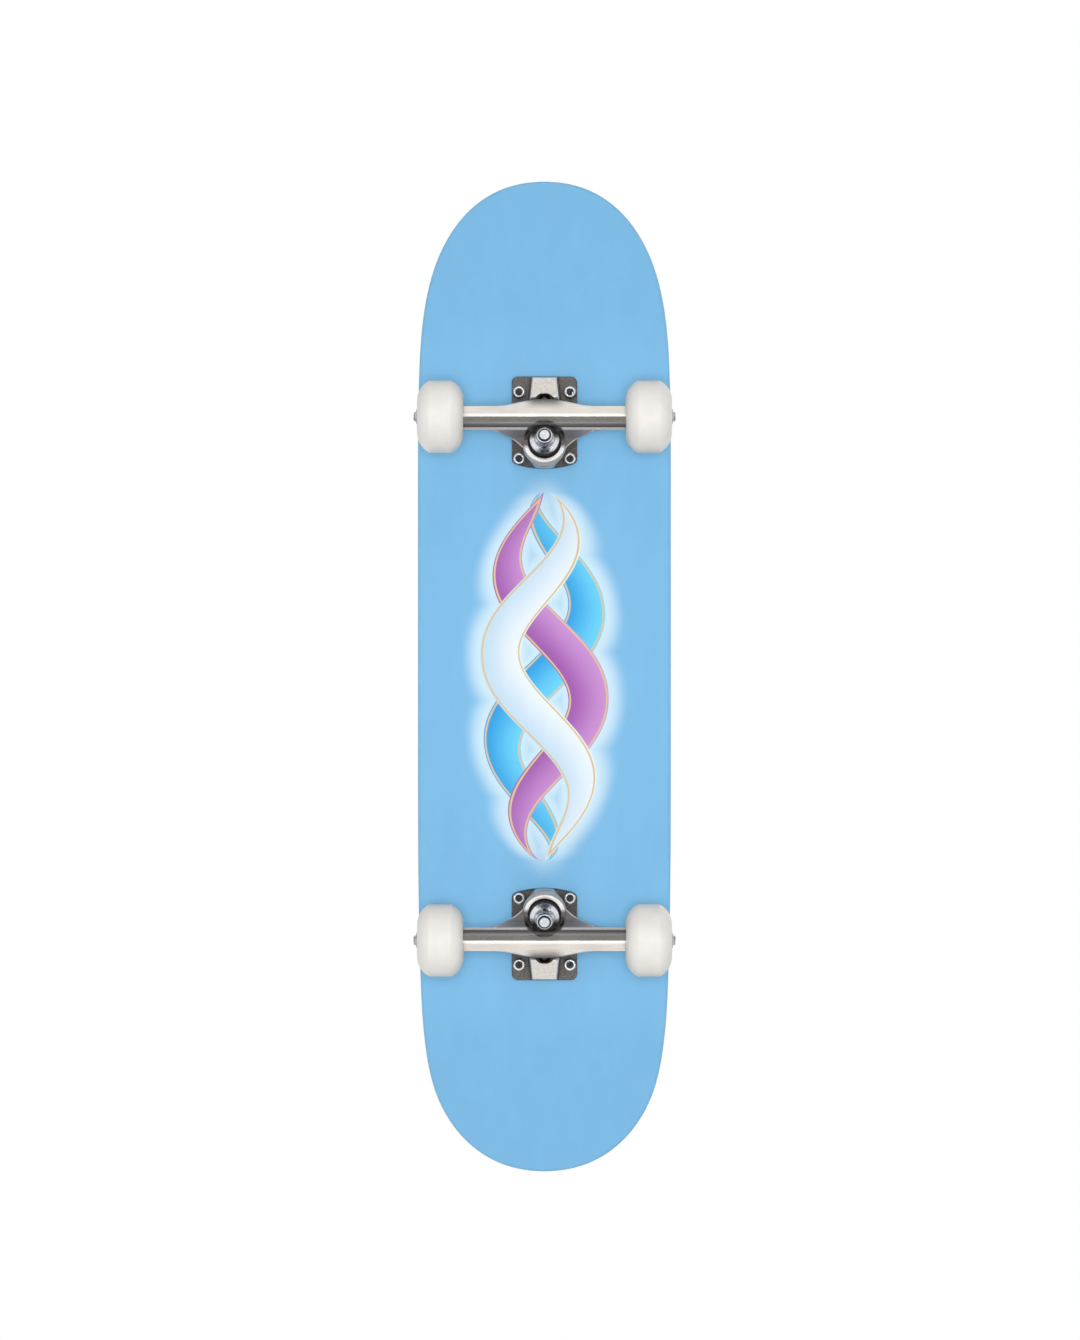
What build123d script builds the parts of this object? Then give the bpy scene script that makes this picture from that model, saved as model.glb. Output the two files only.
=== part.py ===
# A complete skateboard: deck, grip tape, two trucks, four wheels and their bearings.
# Millimetres. X runs along the board with the nose at +X, Y to the rider's left, Z up.
# The board stands on its wheels with the ground at Z = 0.
import os
from math import asin, atan2, cos, pi, radians, sin, tan

from build123d import *

# Deck
deck_width = 206.4
wheelbase = 355.6  # between the inner bolt rows
bolt_rows = 53.98  # along the board, in one truck's pattern
bolt_columns = 41.28  # across the board
nose_reach = 180.0  # outer bolts to the nose tip
tail_reach = 177.0
deck_thickness = 11.0
grip_thickness = 0.9
flat_half = 30.0  # half width of the flat strip in the middle of the concave
concave_radius = 340.0
kick_angle = 20.0
kick_radius = 110.0
kick_gap = 25.0  # outer bolts to where a kick begins
deck_rounding = 3.0
trim_margin = 8.0  # pressed sheet past the outline on each side, before it is cut out
nose_taper = 232.0  # length over which the outline narrows to the tip
tail_taper = 319.0
# Outline handles, as fractions of the taper length and of the half width.
nose_handles = [(0.0, 0.930), (0.494, 0.904), (0.335, 1.0)]
tail_handles = [(0.0, 0.956), (0.376, 0.879), (0.098, 1.0)]

# Wheels
wheel_radius = 28.75
wheel_width = 36.5
tread_half = 8.6
shoulder_bulge = (15.4, 23.0)  # a point on the rounded shoulder: along the axle, then radius
wheel_face_radius = 16.2
recess_radius = 14.2
wheel_lip_radius = 8.6
tread_rounding = 1.0

# Ball bearings
bearing_bore = 8.0
bearing_outer = 22.0
bearing_width = 7.0
ball_diameter = 3.97
ball_count = 7
ball_pitch = 15.0
ring_shoulder = 1.5  # how far the ring shoulders stay from the ball circle
shield_thickness = 0.35
shield_setback = 0.2
cage_thickness = 1.6
cage_width = 5.2
bearing_gap = 10.0  # spacer length between the two bearings of a wheel

# Axle line
hanger_width = 139.5
washer_thickness = 1.0
axle_diameter = 7.94
axle_nut_flats = 12.7
axle_nut_height = 6.5
axle_stickout = 2.0
axle_washer_wall = 2.0
spacer_wall = 1.2

# Truck: depth below the deck's underside, x outward from the middle of the bolt pattern
axle_depth = 52.25
axle_x = 3.5
pivot_x = 28.0
pivot_depth = 13.0
plate_thickness = 6.0
plate_width = 53.0
plate_outer = 40.0
plate_inner = 30.0
plate_bulge = 4.6
plate_corner = 5.0
plate_rounding = 1.2
housing_x = 20.8  # top lip of the pivot housing
housing_setback = 2.0  # of its heel from the plate's outer edge
housing_depth = 26.0
housing_heel = 17.0  # depth of the housing at the plate's outer edge
housing_width = 23.4
housing_tip_width = 19.5
housing_rounding = 2.0
lip_arch_radius = 8.4  # arched notch in the housing's lip
lip_arch_rise = 4.4
lip_arch_height = 3.5
rib_height = 2.5
rib_half_width = 5.0

# Kingpin and what it clamps
kingpin_lean = 13.0
kingpin_diameter = 9.52
seat_x = -20.6  # where the kingpin leaves the baseplate boss
seat_depth = 12.5
boss_radius = 13.6
boss_flare = 2.0
cup_washer_thickness = 1.5
washer_lip = 1.6
washer_dome = 68.0  # slope of the top washer's road side, from its axis
bottom_washer_radius = 12.6
top_washer_radius = 11.7
bottom_bushing_height = 14.0
ring_web = 4.0  # hanger ring between the two bushings
top_bushing_height = 12.0
bushing_bulge = 0.8
kingpin_nut_flats = 14.3
kingpin_nut_height = 9.0
kingpin_stickout = 1.5
kingpin_head_height = 5.0
kingpin_head_flats = 14.0
kingpin_head_drop = 10.4  # boss seat to the top of the head
thread_chamfer = 0.9
nut_chamfer = 30.0  # slope of the nuts' corners
insert_lip = 0.55  # how far a nut's locking insert shows round the thread
insert_depth = 0.6

# Hanger
ring_radius = 17.6
ring_taper = 5.0  # slope of its outer wall
ring_rim_top = 5.0  # rim past the ring's middle, on the road side
ring_rim_bottom = 4.5
top_seat_radius = 13.5
bottom_seat_radius = 12.4
pocket_radius = 16.6  # room for a socket over the kingpin nut
pocket_reach = 10.4
washer_sweep = 13.6  # pocket reach at the level of the top washer
washer_sweep_radius = 18.0
web_start = 46.0  # where the webs leave the axle bar, across the board
neck_half_width = 8.5
shoulder_radius = 6.4
shoulder_length = 4.0
ball_nose_radius = 5.0
cup_wall = 1.6
cup_flare = 0.9
cup_length = 6.4
stem_radius = 7.5
# Axle bar section, outward and roadward of the axle
bar_side = 8.4
bar_foot = 2.0
bar_ridge = (0.7, 9.0)
bar_inner_slope = [(-4.5, 5.6), (-8.3, 0.8)]  # down from the ridge to the ledge
bar_ledge = (10.2, -0.3)  # its edge, inward and roadward of the axle
bar_base = [(-10.2, -2.6), (-5.2, -8.4), (5.2, -8.4)]
ridge_rounding = 2.4
bulge_reach = 14.6  # outward from the axle, at the middle of the bar
bulge_half = 48.0  # where the bulge fades into the bar, across the board
bulge_lip = 5.0  # its edge, deckward of the axle
bulge_depth = 16.0  # its deckward side at the middle
bulge_rounding = 5.0
bulge_tuck = 1.4  # how far the bulge's top starts past the ridge
bulge_root = 6.0
fade_tuck = 0.4
fade_swell = 1.4
# Webs: where they leave the bar, their waist and where they meet the ring
web_inset = 2.0
web_root = 7.0
web_waist = 6.4
web_meet = 3.0
web_tuck = 0.4
web_ring_drop = 5.0  # of the webs under the ring's rim at their inner end
web_ring_reach = (4.0, 5.0)  # along the ring's rim, inward and outward of its middle
web_bar_point = (-8.5, 1.0)  # from the axle, outward and deckward
web_bar_height = 14.0
web_floor = 1.0
# Neck corners, outward and deckward of the ring's middle, the pivot and the axle
neck_at_ring = [(6.0, 4.0), (18.0, 12.5)]
neck_at_pivot = [(-14.0, 0.5), (-10.5, -11.0)]
neck_at_axle = [(13.5, 9.0), (6.0, 2.0), (-8.0, 4.0)]
seat_clearance = 3.0  # open room over the top bushing
ring_rounding = 1.2
neck_rounding = 3.5
bar_rounding = 1.3

# Mounting hardware
bolt_diameter = 4.8
bolt_head_radius = 4.6
bolt_head_height = 2.9
bolt_head_sink = 0.1
recess_length = 5.0
recess_width = 1.0
recess_depth = 1.8
mount_nut_flats = 9.5
mount_nut_height = 5.6
bolt_stickout = 1.4

# Fits
running_fit = 0.05
press_fit = 0.02
bolt_fit = 0.25
bushing_fit = 0.3
cup_end_fit = 0.5  # room at the end of the pivot cup
stem_fit = 0.5  # round the pivot stem in the housing's mouth
kingpin_tilt_fit = 1.75  # lets the hanger ring tilt about the kingpin
pick_margin = 0.01  # how near a face or edge has to be to count as the one meant

# Heights and places that follow from the sizes above
deck_bottom = wheel_radius + axle_depth
deck_top = deck_bottom + deck_thickness
grip_top = deck_top + grip_thickness
deck_length = nose_reach + tail_reach + wheelbase + 2 * bolt_rows
front_x = deck_length / 2 - nose_reach - bolt_rows / 2
rear_x = -deck_length / 2 + tail_reach + bolt_rows / 2
nose_kick_x = front_x + bolt_rows / 2 + kick_gap
tail_kick_x = rear_x - bolt_rows / 2 - kick_gap
front_place = Location((front_x, 0, deck_bottom))
rear_place = Location((rear_x, 0, deck_bottom), (0, 0, 180))
pattern = [(i * bolt_rows / 2, j * bolt_columns / 2) for i in (-1, 1) for j in (-1, 1)]
board_holes = [(x + i, j) for x in (front_x, rear_x) for i, j in pattern]

# Kingpin line, measured from the boss seat
lean = radians(kingpin_lean)
bushing_base = cup_washer_thickness
ring_middle = bushing_base + bottom_bushing_height + ring_web / 2
top_base = ring_middle + ring_web / 2
washer_base = top_base + top_bushing_height
nut_base = washer_base + cup_washer_thickness
kingpin_end = nut_base + kingpin_nut_height + kingpin_stickout
kingpin_plane = Plane(
    origin=(seat_x, 0, -seat_depth), x_dir=(cos(lean), 0, sin(lean)), z_dir=(sin(lean), 0, -cos(lean))
)
ring_plane = kingpin_plane.offset(ring_middle)
ring_x = seat_x + ring_middle * sin(lean)
ring_depth = seat_depth + ring_middle * cos(lean)

# Steering line, from the pivot to the middle of the hanger ring
steer = atan2(ring_depth - pivot_depth, pivot_x - ring_x)
steer_axis = Axis((pivot_x, 0, -pivot_depth), (-cos(steer), 0, -sin(steer)))
steer_plane = Plane(
    origin=(pivot_x, 0, -pivot_depth), x_dir=(-cos(steer), 0, -sin(steer)), z_dir=(0, 1, 0)
)

socket_radius = ball_nose_radius + running_fit
cup_radius = socket_radius + cup_wall
mouth_start = cup_length + cup_end_fit
mouth_radius = stem_radius + stem_fit

# Axle line, measured from the middle of the board
bearing_start = hanger_width / 2 + washer_thickness
wheel_y = bearing_start + bearing_width + bearing_gap / 2
axle_nut_start = wheel_y + bearing_gap / 2 + bearing_width + washer_thickness
axle_half = axle_nut_start + axle_nut_height + axle_stickout
bearing_offset = (bearing_gap + bearing_width) / 2
axle_plane = Plane(origin=(axle_x, 0, -axle_depth), x_dir=(1, 0, 0), z_dir=(0, 1, 0))


def band_section(base, thickness):
    # Cross section of one layer of the pressed deck, from a height above the deck's underside.
    reach = asin((deck_width / 2 + trim_margin - flat_half) / concave_radius)

    def at(level, angle, side):
        radius = concave_radius - level
        return (side * (flat_half + radius * sin(angle)), concave_radius - radius * cos(angle))

    with BuildLine() as section:
        for side in (-1, 1):
            for level in (base, base + thickness):
                ThreePointArc(at(level, 0, side), at(level, reach / 2, side), at(level, reach, side))
            Line(at(base, reach, side), at(base + thickness, reach, side))
        for level in (base, base + thickness):
            Line(at(level, 0, -1), at(level, 0, 1))
    make_face(section.edges())


def board_outline(inset):
    # Plan of the deck: a blunt curve at each end and straight rails between.
    half = deck_width / 2 - inset
    ends = []
    with BuildLine() as plan:
        for side in (-1, 1):
            for way, taper, handles in ((1, nose_taper, nose_handles), (-1, tail_taper, tail_handles)):
                tip = way * (deck_length / 2 - inset)
                points = [(tip - way * taper * along, side * half * across) for along, across in handles]
                Bezier((tip, 0), *points, (tip - way * taper, side * half))
                ends.append((tip - way * taper, side * half))
        Line(ends[0], ends[1])
        Line(ends[2], ends[3])
    make_face(plan.edges())


def kick_spine():
    # The deck's underside along its middle, tail to nose.
    turn = radians(kick_angle)
    run = nose_reach

    def bend(start, way, angle, extra=0):
        x = kick_radius * sin(angle) + extra * cos(angle)
        z = kick_radius * (1 - cos(angle)) + extra * sin(angle)
        return (start + way * x, 0, deck_bottom + z)

    with BuildLine() as spine:
        Line(bend(tail_kick_x, -1, turn, run), bend(tail_kick_x, -1, turn))
        ThreePointArc(bend(tail_kick_x, -1, turn), bend(tail_kick_x, -1, turn / 2), bend(tail_kick_x, -1, 0))
        Line(bend(tail_kick_x, -1, 0), bend(nose_kick_x, 1, 0))
        ThreePointArc(bend(nose_kick_x, 1, 0), bend(nose_kick_x, 1, turn / 2), bend(nose_kick_x, 1, turn))
        Line(bend(nose_kick_x, 1, turn), bend(nose_kick_x, 1, turn, run))
    return spine.wires()[0]


spine = kick_spine()
spine_start = Plane(origin=spine @ 0, x_dir=(0, 1, 0), z_dir=spine % 0)

# Deck
with BuildPart() as deck:
    with BuildSketch(spine_start):
        band_section(0, deck_thickness)
    sweep(path=spine)
    with BuildSketch(Plane.XY):
        board_outline(0)
    extrude(amount=2 * grip_top, mode=Mode.INTERSECT)
    walls = deck.faces().filter_by(lambda f: abs(f.normal_at().Z) < pick_margin)
    rim = walls.edges().filter_by(Axis.Z, reverse=True)
    fillet(rim, deck_rounding)
    with Locations(*[(x, y, deck_bottom) for x, y in board_holes]):
        Cylinder(
            bolt_diameter / 2 + bolt_fit,
            deck_thickness,
            align=(Align.CENTER, Align.CENTER, Align.MIN),
            mode=Mode.SUBTRACT,
        )
    with Locations(*[(x, y, grip_top - bolt_head_sink - bolt_head_height) for x, y in board_holes]):
        Cone(
            bolt_diameter / 2 + running_fit,
            bolt_head_radius + running_fit,
            bolt_head_height,
            align=(Align.CENTER, Align.CENTER, Align.MIN),
            mode=Mode.SUBTRACT,
        )

# Grip tape, up to where the deck's edge starts to round
with BuildPart() as grip_tape:
    with BuildSketch(spine_start):
        band_section(deck_thickness, grip_thickness)
    sweep(path=spine)
    with BuildSketch(Plane.XY):
        board_outline(deck_rounding)
    extrude(amount=2 * grip_top, mode=Mode.INTERSECT)
    with Locations(*[(x, y, deck_bottom) for x, y in board_holes]):
        Cylinder(bolt_head_radius + running_fit, 3 * deck_thickness, mode=Mode.SUBTRACT)

# Pivot housing of the baseplate: a wedge whose mouth is square to the steering line
with BuildPart() as housing:
    foot_x = housing_x - housing_depth * tan(steer)
    with BuildSketch(Plane.XZ):
        Polygon(
            (plate_outer, 0),
            (plate_outer - housing_setback, -housing_heel),
            (housing_x, -housing_depth),
            (foot_x, 0),
            align=None,
        )
    extrude(amount=housing_width, both=True)
    with BuildSketch(Plane.XY):
        Polygon(
            (plate_outer, housing_tip_width / 2),
            (housing_x, housing_width / 2),
            (foot_x, housing_width / 2),
            (foot_x, -housing_width / 2),
            (housing_x, -housing_width / 2),
            (plate_outer, -housing_tip_width / 2),
            align=None,
        )
    extrude(amount=-housing_depth, mode=Mode.INTERSECT)
    ridge = housing.edges().filter_by(lambda e: e.center().Z < -housing_heel)
    fillet(ridge, housing_rounding)
    with BuildSketch(Plane.XY.offset(-housing_depth)):
        with Locations((housing_x + lip_arch_rise - lip_arch_radius, 0)):
            Circle(lip_arch_radius)
    extrude(amount=lip_arch_height, mode=Mode.SUBTRACT)


def plate_outline():
    # Plan of the baseplate, with a bowed inner edge.
    with BuildLine() as plan:
        inner_edge = ThreePointArc(
            (-plate_inner, plate_width / 2),
            (-plate_inner - plate_bulge, 0),
            (-plate_inner, -plate_width / 2),
        )
        Polyline(
            inner_edge @ 1,
            (plate_outer, -plate_width / 2),
            (plate_outer, plate_width / 2),
            inner_edge @ 0,
        )
    plate_face = make_face(plan.edges())
    fillet(plate_face.vertices(), plate_corner)


# Boss under the kingpin, square to it and cut flush with the plate's edge
with BuildPart() as boss:
    with BuildSketch(kingpin_plane):
        Circle(boss_radius)
    extrude(amount=-seat_depth, taper=-boss_flare)
    with BuildSketch(Plane.XY):
        plate_outline()
    extrude(amount=-2 * seat_depth, mode=Mode.INTERSECT)

# Baseplate
with BuildPart() as baseplate:
    with BuildSketch(Plane.XY):
        plate_outline()
    extrude(amount=-plate_thickness)
    fillet(baseplate.faces().sort_by(Axis.Z)[0].edges(), plate_rounding)
    add(boss.part)
    # Rib between the boss and the pivot housing
    with BuildSketch(Plane.XZ):
        Polygon(
            (seat_x, 0),
            (seat_x, -seat_depth),
            (seat_x + boss_radius, -plate_thickness - rib_height),
            (pivot_x - boss_radius, -plate_thickness - rib_height),
            (pivot_x, 0),
            align=None,
        )
    extrude(amount=rib_half_width, both=True)
    add(housing.part)
    split(bisect_by=Plane.XY, keep=Keep.BOTTOM)
    # Pivot cup bore with its mouth, kingpin hole, head pocket and bolt holes
    with BuildSketch(steer_plane):
        with BuildLine():
            bore_end = ThreePointArc(
                (-cup_radius, 0),
                (-cup_radius * cos(pi / 4), cup_radius * sin(pi / 4)),
                (0, cup_radius),
            )
            Polyline(
                bore_end @ 1,
                (mouth_start, cup_radius),
                (mouth_start, mouth_radius),
                (housing_depth, mouth_radius),
                (housing_depth, 0),
                bore_end @ 0,
            )
        make_face()
    revolve(axis=steer_axis, mode=Mode.SUBTRACT)
    with BuildSketch(kingpin_plane):
        Circle(kingpin_diameter / 2 + running_fit)
    extrude(amount=seat_depth * 2, both=True, mode=Mode.SUBTRACT)
    with BuildSketch(kingpin_plane.offset(kingpin_head_height - kingpin_head_drop)):
        RegularPolygon(kingpin_head_flats / 2 + running_fit, 6, major_radius=False)
    extrude(amount=-seat_depth, mode=Mode.SUBTRACT)
    with Locations(*pattern):
        Cylinder(bolt_diameter / 2 + bolt_fit, plate_thickness * 3, mode=Mode.SUBTRACT)

# Pivot cup
with BuildPart() as pivot_cup:
    with BuildSketch(steer_plane):
        with BuildLine():
            back = cup_radius - press_fit
            cup_back = ThreePointArc((-back, 0), (-back * cos(pi / 4), back * sin(pi / 4)), (0, back))
            cup_seat = ThreePointArc(
                (-socket_radius, 0),
                (-socket_radius * cos(pi / 4), socket_radius * sin(pi / 4)),
                (0, socket_radius),
            )
            Line(cup_back @ 0, cup_seat @ 0)
            Polyline(
                cup_back @ 1,
                (cup_length, back),
                (cup_length, socket_radius + cup_flare),
                (cup_length / 2, socket_radius),
                cup_seat @ 1,
            )
        make_face()
    revolve(axis=steer_axis)

# Kingpin, from its hexagon head in the baseplate to its threaded end
with BuildPart() as kingpin:
    with BuildSketch(kingpin_plane.offset(-kingpin_head_drop)):
        RegularPolygon(kingpin_head_flats / 2, 6, major_radius=False)
    extrude(amount=kingpin_head_height)
    with BuildSketch(kingpin_plane.offset(-kingpin_head_drop)):
        Circle(kingpin_diameter / 2)
    extrude(amount=kingpin_head_drop + kingpin_end)
    chamfer(kingpin.faces().sort_by(Axis.Z)[0].edges(), thread_chamfer)


def lock_nut(plane, flats, height, bore):
    # A hexagon nut, chamfered at its corners, with a round collar over its locking insert.
    collar = 0.3 * height
    collar_radius = 0.485 * flats
    with BuildPart() as nut:
        with BuildSketch(plane):
            RegularPolygon(flats / 2, 6, major_radius=False)
        extrude(amount=height - collar)
        with Locations(plane):
            Cone(
                collar_radius + (height - collar) / tan(radians(nut_chamfer)),
                collar_radius,
                height - collar,
                align=(Align.CENTER, Align.CENTER, Align.MIN),
                mode=Mode.INTERSECT,
            )
        with BuildSketch(plane.offset(height - collar)):
            Circle(collar_radius)
        extrude(amount=collar)
        face_plane = plane.offset(height)
        crown = nut.faces().filter_by(lambda f: abs(face_plane.to_local_coords(f.center()).Z) < pick_margin)
        fillet(crown.edges(), 0.5 * collar)
        with BuildSketch(plane):
            Circle(bore)
        extrude(amount=height, mode=Mode.SUBTRACT)
        with BuildSketch(face_plane):
            Circle(bore + insert_lip)
        extrude(amount=-insert_depth, mode=Mode.SUBTRACT)
    return nut.part


def cupped_washer(plane, radius, way, dome=0):
    # A dished washer, whose lip on the side way points to holds the end of a bushing.
    with BuildPart() as washer:
        with BuildSketch(plane):
            Circle(radius)
        extrude(amount=cup_washer_thickness, taper=dome)
        lip_base = plane.offset(cup_washer_thickness) if way > 0 else plane
        with BuildSketch(lip_base):
            Circle(radius)
            Circle(radius - cup_washer_thickness, mode=Mode.SUBTRACT)
        extrude(amount=way * washer_lip)
        with BuildSketch(plane):
            Circle(kingpin_diameter / 2 + running_fit)
        extrude(amount=cup_washer_thickness, mode=Mode.SUBTRACT)
    return washer.part


def bushing(plane, foot_radius, head_radius, height):
    # A urethane ring between two radii, bulged a little at its middle.
    axis = Axis(plane.origin, plane.z_dir)
    profile_plane = Plane(origin=plane.origin, x_dir=plane.x_dir, z_dir=(0, 1, 0))
    bore = kingpin_diameter / 2 + bushing_fit
    with BuildPart() as rubber:
        with BuildSketch(profile_plane):
            with BuildLine():
                middle = (foot_radius + head_radius) / 2 + bushing_bulge
                skin = ThreePointArc((foot_radius, 0), (middle, height / 2), (head_radius, height))
                Polyline(skin @ 1, (bore, height), (bore, 0), skin @ 0)
            make_face()
        revolve(axis=axis)
    return rubber.part


kingpin_nut = lock_nut(
    kingpin_plane.offset(nut_base), kingpin_nut_flats, kingpin_nut_height, kingpin_diameter / 2 + running_fit
)
bottom_washer = cupped_washer(kingpin_plane, bottom_washer_radius, 1)
top_washer = cupped_washer(kingpin_plane.offset(washer_base), top_washer_radius, -1, washer_dome)
bottom_bushing = bushing(
    kingpin_plane.offset(bushing_base),
    bottom_washer_radius - cup_washer_thickness - 3 * bushing_fit,
    bottom_seat_radius - bushing_fit,
    bottom_bushing_height,
)
top_bushing = bushing(
    kingpin_plane.offset(top_base),
    top_seat_radius - 4 * bushing_fit,
    top_washer_radius - cup_washer_thickness - 4 * bushing_fit,
    top_bushing_height,
)

# Webs of the hanger: seen from below they sweep from the axle bar into the ring,
# seen from the side they slope from the bar toward the deck.
with BuildPart() as webs:
    with BuildSketch(Plane.XY):
        with BuildLine():
            bar_x = axle_x - web_inset
            left_sweep = ThreePointArc(
                (bar_x - web_root, web_start),
                (ring_x + web_waist, 0.66 * web_start),
                (ring_x - web_meet, ring_radius - web_tuck),
            )
            right_sweep = ThreePointArc(
                (bar_x - web_root, -web_start),
                (ring_x + web_waist, -0.66 * web_start),
                (ring_x - web_meet, web_tuck - ring_radius),
            )
            Line(left_sweep @ 1, right_sweep @ 1)
            Polyline(right_sweep @ 0, (bar_x, -web_start), (bar_x, web_start), left_sweep @ 0)
        make_face()
    extrude(amount=-2 * axle_depth)
    with BuildSketch(Plane.XZ):
        Polygon(
            (ring_x - web_ring_reach[0], -ring_depth - ring_rim_top + web_ring_drop),
            (ring_x + web_ring_reach[1], -ring_depth - ring_rim_top),
            (axle_x + web_bar_point[0], -axle_depth + web_bar_point[1]),
            (axle_x, -axle_depth),
            (axle_x, -axle_depth + web_bar_height),
            (ring_x - web_ring_reach[0], -ring_depth + ring_rim_bottom - web_floor),
            align=None,
        )
    extrude(amount=2 * web_start, both=True, mode=Mode.INTERSECT)

# The bar's outer slope lies in one plane with the top of its bulge.
slope = (bar_ridge[1] + bulge_lip) / (bulge_reach - bar_ridge[0])
bar_shelf = bar_ridge[1] - slope * (bar_side - bar_ridge[0])
fade_x = axle_x + bar_side - fade_tuck

# Bulge of the axle bar over the pivot: its outer edge swells toward the middle
with BuildPart() as bulge:
    with BuildSketch(axle_plane):
        Polygon(
            (bar_ridge[0] + bulge_tuck, bar_ridge[1] - bulge_tuck * slope),
            (bulge_reach, -bulge_lip),
            (bulge_reach, -0.75 * bulge_depth),
            (0.7 * bulge_reach, -bulge_depth),
            (-bulge_root, -bulge_depth),
            (-bulge_root, 0),
            align=None,
        )
    extrude(amount=bulge_half, both=True)
    with BuildSketch(Plane.XY):
        with BuildLine():
            for way in (-1, 1):
                Bezier(
                    (axle_x + bulge_reach, 0),
                    (axle_x + bulge_reach, way * 0.4 * bulge_half),
                    (fade_x + fade_swell, way * 0.45 * bulge_half),
                    (fade_x, way * bulge_half),
                )
            Polyline(
                (fade_x, bulge_half),
                (axle_x - bulge_root, bulge_half),
                (axle_x - bulge_root, -bulge_half),
                (fade_x, -bulge_half),
            )
        make_face()
    extrude(amount=-2 * axle_depth, mode=Mode.INTERSECT)
    with BuildSketch(Plane.YZ):
        Polygon(
            (-bulge_half, -axle_depth),
            (-bulge_half, -2 * axle_depth),
            (bulge_half, -2 * axle_depth),
            (bulge_half, -axle_depth),
            (0.3 * bulge_half, bulge_depth - axle_depth),
            (-0.3 * bulge_half, bulge_depth - axle_depth),
            align=None,
        )
    extrude(amount=2 * plate_outer, both=True, mode=Mode.INTERSECT)
    brow = bulge.faces().filter_by(lambda f: f.normal_at().X > 0.3 and f.normal_at().Z < -0.3)
    fillet(brow.edges().filter_by(GeomType.BSPLINE), bulge_rounding)

# Neck from the ring and the bar to the pivot stem
with BuildPart() as neck:
    with BuildSketch(Plane.XZ):
        Polygon(
            *[(ring_x + out, -ring_depth + up) for out, up in neck_at_ring],
            *[(pivot_x + out, -pivot_depth + up) for out, up in neck_at_pivot],
            *[(axle_x + out, -axle_depth + up) for out, up in neck_at_axle],
            (ring_x + web_ring_reach[1], -ring_depth - ring_rim_top),
            align=None,
        )
    extrude(amount=neck_half_width, both=True)
    fillet(neck.edges().filter_by(Axis.Y, reverse=True), neck_rounding)

# Ring round the kingpin
with BuildPart() as ring:
    with BuildSketch(ring_plane.offset(-ring_rim_bottom)):
        Circle(ring_radius)
    extrude(amount=ring_rim_bottom + ring_rim_top, taper=ring_taper)
    fillet(ring.edges().filter_by(GeomType.CIRCLE), ring_rounding)

# Hanger
with BuildPart() as hanger:
    with BuildSketch(axle_plane) as bar_section:
        Polygon(
            (bar_side, -bar_foot),
            (bar_side, bar_shelf),
            bar_ridge,
            *bar_inner_slope,
            (-bar_ledge[0], bar_ledge[1]),
            *bar_base,
            align=None,
        )
        # The sketch's own Y points down, so the ridge comes last
        *sharp, crest = bar_section.vertices().sort_by(Axis.Y)
        fillet(crest, ridge_rounding)
        fillet(sharp, bar_rounding)
    extrude(amount=hanger_width / 2 - shoulder_length, both=True)
    for way in (-1, 1):
        with BuildSketch(axle_plane.offset(way * hanger_width / 2)):
            Circle(shoulder_radius)
        extrude(amount=-way * 2 * shoulder_length)
    for member in (bulge, ring, webs, neck):
        add(member.part)
    # Pivot stem with a ball nose, on the steering line
    with BuildSketch(steer_plane):
        with BuildLine():
            nose = ThreePointArc(
                (-ball_nose_radius, 0),
                (-ball_nose_radius * cos(pi / 4), ball_nose_radius * sin(pi / 4)),
                (0, ball_nose_radius),
            )
            Polyline(
                nose @ 1,
                (cup_length / 2, ball_nose_radius),
                (2 * cup_length, stem_radius),
                (4 * cup_length, stem_radius),
                (4 * cup_length, 0),
                nose @ 0,
            )
        make_face()
    revolve(axis=steer_axis)
    # Bushing seats, socket pocket, kingpin bore and axle bore
    with BuildSketch(ring_plane.offset(ring_web / 2)):
        Circle(top_seat_radius)
    extrude(amount=top_bushing_height + seat_clearance, mode=Mode.SUBTRACT)
    with BuildSketch(ring_plane.offset(-ring_web / 2)):
        Circle(bottom_seat_radius)
    extrude(amount=-bottom_bushing_height, mode=Mode.SUBTRACT)
    with BuildSketch(ring_plane.offset(ring_rim_top)):
        with Locations((washer_sweep - washer_sweep_radius, 0)):
            Circle(washer_sweep_radius)
    extrude(amount=washer_sweep, mode=Mode.SUBTRACT)
    with BuildSketch(ring_plane.offset(ring_rim_top)):
        with Locations((pocket_reach - pocket_radius, 0)):
            Circle(pocket_radius)
    extrude(amount=axle_depth, mode=Mode.SUBTRACT)
    with BuildSketch(ring_plane):
        Circle(kingpin_diameter / 2 + kingpin_tilt_fit)
    extrude(amount=ring_radius, both=True, mode=Mode.SUBTRACT)
    with BuildSketch(axle_plane):
        Circle(axle_diameter / 2 + press_fit)
    extrude(amount=hanger_width, both=True, mode=Mode.SUBTRACT)

# Axle and what is stacked on it
with BuildPart() as axle:
    with BuildSketch(axle_plane):
        Circle(axle_diameter / 2)
    extrude(amount=axle_half, both=True)
    chamfer(axle.faces().filter_by(Axis.Y).edges(), thread_chamfer)

axle_bore = axle_diameter / 2 + running_fit
with BuildPart() as axle_nuts:
    add(lock_nut(axle_plane.offset(axle_nut_start), axle_nut_flats, axle_nut_height, axle_bore))
    mirror(about=Plane.XZ)

with BuildPart() as axle_washers:
    for start in (hanger_width / 2, axle_nut_start - washer_thickness):
        with BuildSketch(axle_plane.offset(start)):
            Circle(bearing_bore / 2 + axle_washer_wall)
            Circle(axle_bore, mode=Mode.SUBTRACT)
        extrude(amount=washer_thickness)
    mirror(about=Plane.XZ)

with BuildPart() as bearing_spacers:
    with BuildSketch(axle_plane.offset(bearing_start + bearing_width)):
        Circle(bearing_bore / 2 + spacer_wall)
        Circle(axle_bore, mode=Mode.SUBTRACT)
    extrude(amount=bearing_gap)
    mirror(about=Plane.XZ)

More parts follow.
